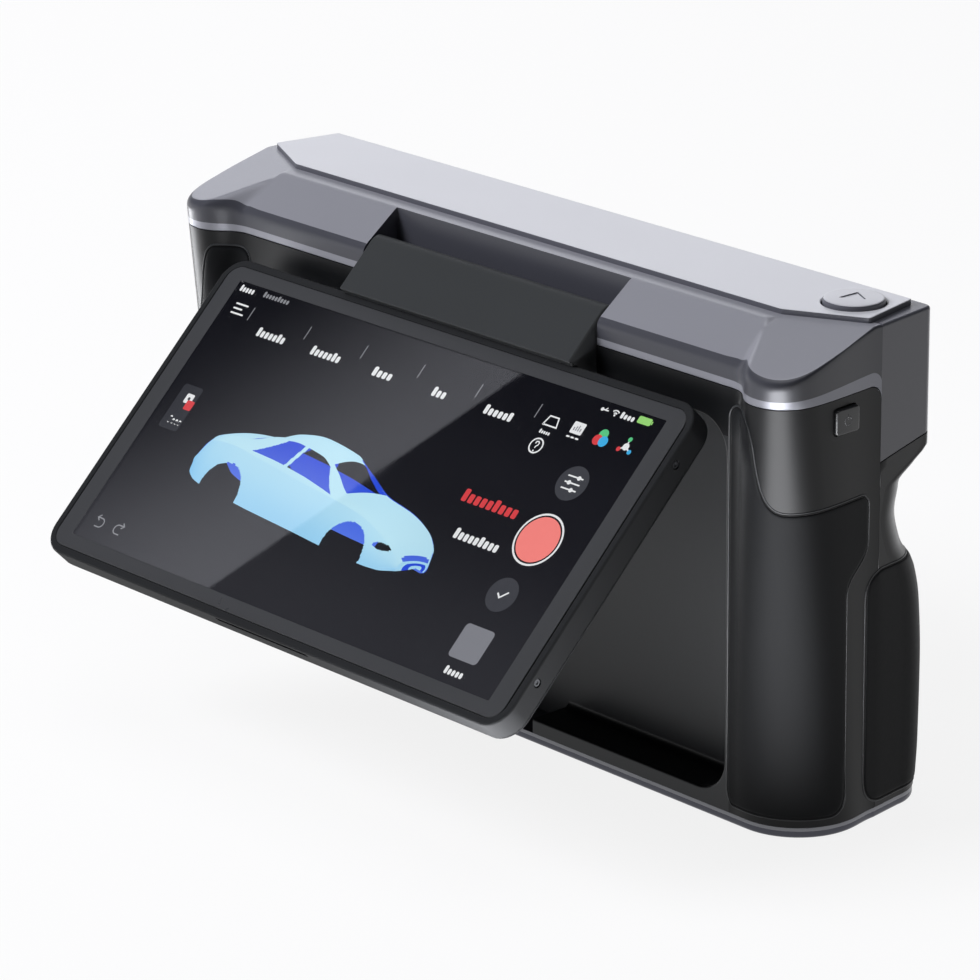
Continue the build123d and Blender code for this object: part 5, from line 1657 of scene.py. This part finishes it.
def makeWindow():
    w = lensRow
    rings = []
    for below, inset in ((w["thick"], 0.0), *w["edgeSteps"]):
        line = roundedRect(w["halfW"] - inset, w["halfH"] - inset, w["round"] - inset, 10)
        rings.append([(p[0], w["face"] - below, w["z"] + p[1]) for p in line])
    pane = makePiece("lensWindow", *loftRings(rings), windowGloss, 30)
    cuts = []
    for node in w["cameras"] + w["projectors"] + w["lamps"]:
        x, r = lensSize(node)[:2]
        r = r + w["clear"]
        wide = r + w["holeBevel"]
        profile = [(r, w["face"] - 3), (r, w["face"] - 0.3), (wide, w["face"] + 0.05), (wide, w["face"] + 2)]
        cuts.append(spun("cutter", profile, x, gapBlack))
    cutAway(pane, cuts, 30)
    place(pane, "scanner_body", "window_glass", "lens_window")


makeLenses()
makeWindow()
print("window and lenses made")


# Socket screws, set by Geometry Nodes

screws = {"crown": 0.86, "head": 2.05, "tall": 1.05, "key": 1.15, "keyDeep": 0.7, "smallHead": 0.86, "smallTall": 0.4,
    "smallKey": 0.48, "smallKeyDeep": 0.28}


def screwTree():
    tree = bpy.data.node_groups.new("socketScrews", "GeometryNodeTree")
    tree.interface.new_socket("Geometry", in_out="OUTPUT", socket_type="NodeSocketGeometry")
    tree.interface.new_socket("Geometry", in_out="INPUT", socket_type="NodeSocketGeometry")
    for name in ("Head Radius", "Head Height", "Key Radius", "Key Depth"):
        tree.interface.new_socket(name, in_out="INPUT", socket_type="NodeSocketFloat")
    tree.interface.new_socket("Finish", in_out="INPUT", socket_type="NodeSocketMaterial")
    given = addNode(tree, "NodeGroupInput").outputs
    crown = addNode(tree, "ShaderNodeMath", {0: given["Head Radius"], 1: screws["crown"]}, operation="MULTIPLY")
    head = addNode(tree, "GeometryNodeMeshCone", {"Vertices": 36, "Radius Top": crown.outputs["Value"],
        "Radius Bottom": given["Head Radius"], "Depth": given["Head Height"]})
    twice = addNode(tree, "ShaderNodeMath", {0: given["Key Depth"], 1: 2.0}, operation="MULTIPLY")
    key = addNode(tree, "GeometryNodeMeshCylinder", {"Vertices": 6, "Radius": given["Key Radius"],
        "Depth": twice.outputs["Value"]})
    lift = addNode(tree, "ShaderNodeCombineXYZ", {"Z": given["Head Height"]})
    key = addNode(tree, "GeometryNodeTransform", {"Geometry": key.outputs["Mesh"],
        "Translation": lift.outputs["Vector"]})
    screw = addNode(tree, "GeometryNodeMeshBoolean", {"Mesh 1": head.outputs["Mesh"],
        "Mesh 2": key.outputs["Geometry"]}, operation="DIFFERENCE", solver="EXACT")
    facing = addNode(tree, "GeometryNodeInputNamedAttribute", {"Name": "facing"}, data_type="FLOAT_VECTOR")
    turn = addNode(tree, "FunctionNodeAlignRotationToVector", {"Vector": facing.outputs["Attribute"]}, axis="Z")
    many = addNode(tree, "GeometryNodeInstanceOnPoints",
        {"Points": given["Geometry"], "Instance": screw.outputs["Mesh"], "Rotation": turn.outputs["Rotation"]})
    real = addNode(tree, "GeometryNodeRealizeInstances", {"Geometry": many.outputs["Instances"]})
    dressed = addNode(tree, "GeometryNodeSetMaterial", {"Geometry": real.outputs["Geometry"],
        "Material": given["Finish"]})
    addNode(tree, "NodeGroupOutput", {"Geometry": dressed.outputs["Geometry"]})
    return tree


def setScrews(tree, name, spots, facings, sizes, body, node):
    mesh = bpy.data.meshes.new(name)
    mesh.from_pydata([Vector(p) * mm for p in spots], [], [])
    way = mesh.attributes.new("facing", "FLOAT_VECTOR", "POINT")
    way.data.foreach_set("vector", np.asarray(facings, np.float32).ravel())
    piece = bpy.data.objects.new(name, mesh)
    bpy.context.scene.collection.objects.link(piece)
    maker = piece.modifiers.new("socketScrews", "NODES")
    maker.node_group = tree
    values = {"Head Radius": sizes[0] * mm, "Head Height": sizes[1] * mm, "Key Radius": sizes[2] * mm,
        "Key Depth": sizes[3] * mm, "Finish": steel}
    for socket in tree.interface.items_tree:
        if socket.name in values and socket.in_out == "INPUT":
            maker[socket.identifier] = values[socket.name]
    settle(piece)
    softenNormals(piece, 30)
    place(piece, body, "steel", node)


def makeScrews():
    s, tree = screws, screwTree()
    spots = [(x, base["screwY"], base["screwSeat"]) for x in base["screws"]]
    setScrews(tree, "baseScrews", spots, [(0, 0, -1)] * len(spots), (s["head"], s["tall"], s["key"], s["keyDeep"]),
        "scanner_body", "base_screws")
    spots, ways = [], []
    for side in (-1, 1):
        for up in (-screen["screwUp"], screen["screwUp"]):
            spots.append(tuple(swing([(side * (screen["halfW"] - screen["screwDeep"]), up, screen["screwSet"])])[0]))
            ways.append((side, 0, 0))
    setScrews(tree, "screenScrews", spots, ways, (s["smallHead"], s["smallTall"], s["smallKey"], s["smallKeyDeep"]),
        "screen", "screen_screws")


makeScrews()
print("screws made")


# Threaded brass insert for a tripod

insert = {"bore": 2.62, "thread": 0.55, "pitch": 1.27, "chamfer": 0.5, "edge": 0.3, "end": 1.2}


def makeInsert():
    t = insert
    low, high = (np.array(c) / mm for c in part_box("tripod_socket"))
    outer = (high[0] - low[0]) / 2
    around = np.linspace(0, 2 * math.pi, 48, endpoint=False)
    deep = high[2] - t["end"]
    rings = []
    def ring(radius, z):
        rings.append([(radius * math.cos(a), radius * math.sin(a), z) for a in around])
    ring(0.01, high[2])
    ring(outer, high[2])
    ring(outer, low[2] + t["edge"])
    ring(outer - t["edge"], low[2])
    ring(t["bore"] + t["thread"] + t["chamfer"], low[2])
    for z in np.arange(low[2] + t["chamfer"], deep, t["pitch"] / 8):
        wave = [abs(((z / t["pitch"] - a / (2 * math.pi)) % 1.0) - 0.5) * 2 for a in around]
        radii = [t["bore"] + t["thread"] * h for h in wave]
        rings.append([(r * math.cos(a), r * math.sin(a), z) for a, r in zip(around, radii)])
    ring(t["bore"], deep)
    ring(0.01, deep)
    piece = makePiece("tripodInsert", *loftRings(rings), brass, 32)
    place(piece, "scanner_body", "brass", "tripod_socket")


makeInsert()
print("tripod insert made")


# Camera at the photograph's viewing angle

view = {"place": (0.73994, -0.67913, 0.39926), "lens": 178.66, "yaw": -48.17, "pitch": 19.21, "roll": -0.54}


def setCamera():
    level = Matrix(((1, 0, 0), (0, 0, -1), (0, 1, 0)))
    roll, pitch, yaw = (Matrix.Rotation(math.radians(view[k]), 3, axis)
        for k, axis in (("roll", "Z"), ("pitch", "X"), ("yaw", "Z")))
    rows = roll @ pitch @ level @ yaw
    axes = Matrix((rows[0], -Vector(rows[1]), -Vector(rows[2]))).transposed()
    lens = bpy.data.cameras.new("camera")
    lens.lens = view["lens"]
    lens.sensor_width = 36
    lens.sensor_fit = "HORIZONTAL"
    lens.clip_start = 0.01
    eye = bpy.data.objects.new("camera", lens)
    eye.matrix_world = Matrix.Translation(view["place"]) @ axes.to_4x4()
    bpy.context.scene.collection.objects.link(eye)
    bpy.context.scene.camera = eye


setCamera()

# Studio: pale floor, dim surroundings, soft lamps

studio = {
    "floorHalf": 1.6, "floorGrey": "#606062", "floorGlow": 0.86, "horizon": "#56575a", "zenith": "#2c2d30",
    "skyRise": 0.5,
    "paper": "#fcfcfd", "paperLow": 0.08, "paperHigh": 0.28,
    "overhead": {"at": (0.0, 0.06, 1.1), "to": (0, 0, 0.08), "wide": 0.9, "tall": 0.8, "bright": 1.4,
        "tint": "#ffffff"},
    "key": {"at": (-1.0, -1.2, 1.32), "to": (0, 0, 0.08), "wide": 1.0, "tall": 1.0, "bright": 14.8, "tint": "#fdfdff",
        "shine": False},
    "back": {"at": (-0.85, 0.72, 0.5), "to": (0, 0, 0.1), "wide": 0.9, "tall": 0.35, "bright": 1.8, "tint": "#fafbff"},
    "panes": ("coverGlass", "glassBorder"),
    "rightCorner": {"at": (0.19, -0.195, 0.003), "to": (0.19, -0.195, 1), "wide": 0.2, "tall": 0.34, "bright": 14.0,
        "tint": "#fbfcff", "wash": False, "up": (0.5, -0.866, 0)},
    "leftCorner": {"at": (-0.3, -0.065, 0.003), "to": (-0.3, -0.065, 1), "wide": 0.08, "tall": 0.3, "bright": 12.0,
        "tint": "#fbfcff", "wash": False, "up": (-1, 0, 0)},
    "rightRim": {"at": (0.07, 0.28, 0.003), "to": (0.07, 0.28, 1), "wide": 0.12, "tall": 0.3, "bright": 1.2,
        "tint": "#fbfcff", "wash": False, "up": (0, 1, 0)},
    "glass": {"at": (-0.5426, -0.2053, 0.4868), "to": (-0.0372, -0.0087, 0.0524), "wide": 0.15, "tall": 0.32,
        "bright": 0.8, "tint": "#f4f5ff", "up": (0.4016, 0.5451, 0.7359), "fade": (0.5, 1.0, 0.9)},
}


def softbox(name, look):
    lamp = bpy.data.lights.new(name, "AREA")
    lamp.shape = "RECTANGLE"
    lamp.size, lamp.size_y = look["wide"], look["tall"]
    # watts that give the wanted brightness of its face
    lamp.energy = look["bright"] * math.pi * look["wide"] * look["tall"]
    lamp.color = linearColour(look["tint"])[:3]
    box = bpy.data.objects.new(name, lamp)
    away = (Vector(look["at"]) - Vector(look["to"])).normalized()
    up = Vector(look.get("up", (0, 0, 1) if abs(away.z) < 0.95 else (0, 1, 0)))
    across = up.cross(away).normalized()
    box.matrix_world = Matrix.Translation(look["at"]) @ Matrix((across, away.cross(across), away)).transposed().to_4x4()
    box.visible_camera = False
    box.visible_diffuse = look.get("wash", True)  # off for cards that only give highlights
    box.visible_glossy = look.get("shine", True)  # off for lamps that only give even light
    box.visible_transmission = look.get("shine", True)
    if not look.get("wash", True):
        # the polished panes would show a highlight card as a hard white patch
        skipped = bpy.data.collections.new(name + "Skips")
        for pane in studio["panes"]:
            skipped.objects.link(bpy.data.objects[pane])
        for row in skipped.collection_objects:
            row.light_linking.link_state = "EXCLUDE"
        box.light_linking.receiver_collection = skipped
    if look.get("fade"):
        # a card that falls off across its width
        lamp.use_nodes = True
        tree = lamp.node_tree
        tree.nodes.clear()
        spot = addNode(tree, "ShaderNodeNewGeometry").outputs["Parametric"]
        parts = addNode(tree, "ShaderNodeSeparateXYZ", {"Vector": spot})
        level = addNode(tree, "ShaderNodeMapRange", {"Value": parts.outputs["X"], "From Min": look["fade"][0],
            "From Max": look["fade"][1], "To Min": 0.0, "To Max": look["fade"][2]}, interpolation_type="SMOOTHSTEP")
        glow = addNode(tree, "ShaderNodeEmission", {"Strength": level.outputs["Result"]})
        addNode(tree, "ShaderNodeOutputLight", {"Surface": glow.outputs["Emission"]})
    bpy.context.scene.collection.objects.link(box)


def makeStudio():
    s = studio
    # matt paper sweep; its glow is what the lens and mirrors see, so it bounces little light
    material, tree = startMaterial("paperFloor")
    rays = addNode(tree, "ShaderNodeLightPath")
    seen = addNode(tree, "ShaderNodeMath", {0: rays.outputs["Is Camera Ray"], 1: rays.outputs["Is Glossy Ray"]},
        operation="ADD", use_clamp=True)
    seen = addNode(tree, "ShaderNodeMath", {0: seen.outputs["Value"], 1: rays.outputs["Is Transmission Ray"]},
        operation="ADD", use_clamp=True)
    glow = addNode(tree, "ShaderNodeMath", {0: seen.outputs["Value"], 1: s["floorGlow"]}, operation="MULTIPLY")
    paper = addNode(tree, "ShaderNodeBsdfDiffuse", {"Color": linearColour(s["floorGrey"])})
    light = addNode(tree, "ShaderNodeEmission", {"Color": (1, 1, 1, 1), "Strength": glow.outputs["Value"]})
    both = addNode(tree, "ShaderNodeAddShader", {0: paper.outputs["BSDF"], 1: light.outputs["Emission"]})
    addNode(tree, "ShaderNodeOutputMaterial", {"Surface": both.outputs["Shader"]})
    h = s["floorHalf"] / mm
    floor = makePiece("floor", [(-h, -h, 0), (h, -h, 0), (h, h, 0), (-h, h, 0)], [(0, 1, 2, 3)], material)
    if floor.data.polygons[0].normal.z < 0:
        floor.data.flip_normals()
    world = bpy.data.worlds.new("studio")
    bpy.context.scene.world = world
    world.use_nodes = True
    tree = world.node_tree
    tree.nodes.clear()
    way = addNode(tree, "ShaderNodeTexCoord").outputs["Generated"]
    parts = addNode(tree, "ShaderNodeSeparateXYZ", {"Vector": way})
    rise = addNode(tree, "ShaderNodeMapRange", {"Value": parts.outputs["Z"], "From Min": 0.0,
        "From Max": s["skyRise"]}, interpolation_type="SMOOTHSTEP")
    sky = addNode(tree, "ShaderNodeMix", {"Factor": rise.outputs["Result"], "A": linearColour(s["horizon"]),
        "B": linearColour(s["zenith"])}, data_type="RGBA")
    # the lens sees white paper all round; gloss and glass see it low down, under the dark ceiling
    rays = addNode(tree, "ShaderNodeLightPath")
    low = addNode(tree, "ShaderNodeMapRange", {"Value": parts.outputs["Z"], "From Min": s["paperLow"],
        "From Max": s["paperHigh"], "To Min": 1.0, "To Max": 0.0}, interpolation_type="SMOOTHSTEP")
    shiny = addNode(tree, "ShaderNodeMath", {0: rays.outputs["Is Glossy Ray"], 1: rays.outputs["Is Transmission Ray"]},
        operation="ADD", use_clamp=True)
    shiny = addNode(tree, "ShaderNodeMath", {0: shiny.outputs["Value"], 1: low.outputs["Result"]}, operation="MULTIPLY")
    paper = addNode(tree, "ShaderNodeMath", {0: rays.outputs["Is Camera Ray"], 1: shiny.outputs["Value"]},
        operation="ADD", use_clamp=True)
    backdrop = addNode(tree, "ShaderNodeMix", {"Factor": paper.outputs["Value"], "A": sky.outputs["Result"],
        "B": linearColour(s["paper"])}, data_type="RGBA")
    back = addNode(tree, "ShaderNodeBackground", {"Color": backdrop.outputs["Result"], "Strength": 1.0})
    addNode(tree, "ShaderNodeOutputWorld", {"Surface": back.outputs["Background"]})
    for name in ("overhead", "key", "back", "rightCorner", "leftCorner", "rightRim", "glass"):
        softbox(name + "Box", s[name])
    bpy.context.scene.view_settings.view_transform = "Standard"


makeStudio()

# Plain finishes for the CAD nodes that stay, most of them inside

carried = {
    "black_plastic": blackAbs, "silver_finish": silverPaint, "grey_finish": slateAndShadePaint, "rubber": gripRubber,
    "dark_bracket": bracketCoat,
    "screen_plastic": frameCoat, "cover_glass": gapBlack, "display": gapBlack, "window_glass": gapBlack,
    "lens_black": lensBlack, "lamp": alloy,
    "steel": steel, "alloy": alloy, "brass": brass, "board": boardMask, "switch_plastic": switchAcetal,
    "scan_button": silverPaint, "power_button": slateAndShadePaint,
}


def dressNodes():
    slots = {row["node"]: row["material_slot"] for row in frame["record"]["subparts"]}
    for name, node in frame["nodes"].items():
        node.data.materials.clear()
        node.data.materials.append(carried[slots[name]])


dressNodes()
print("floor, light and camera set")
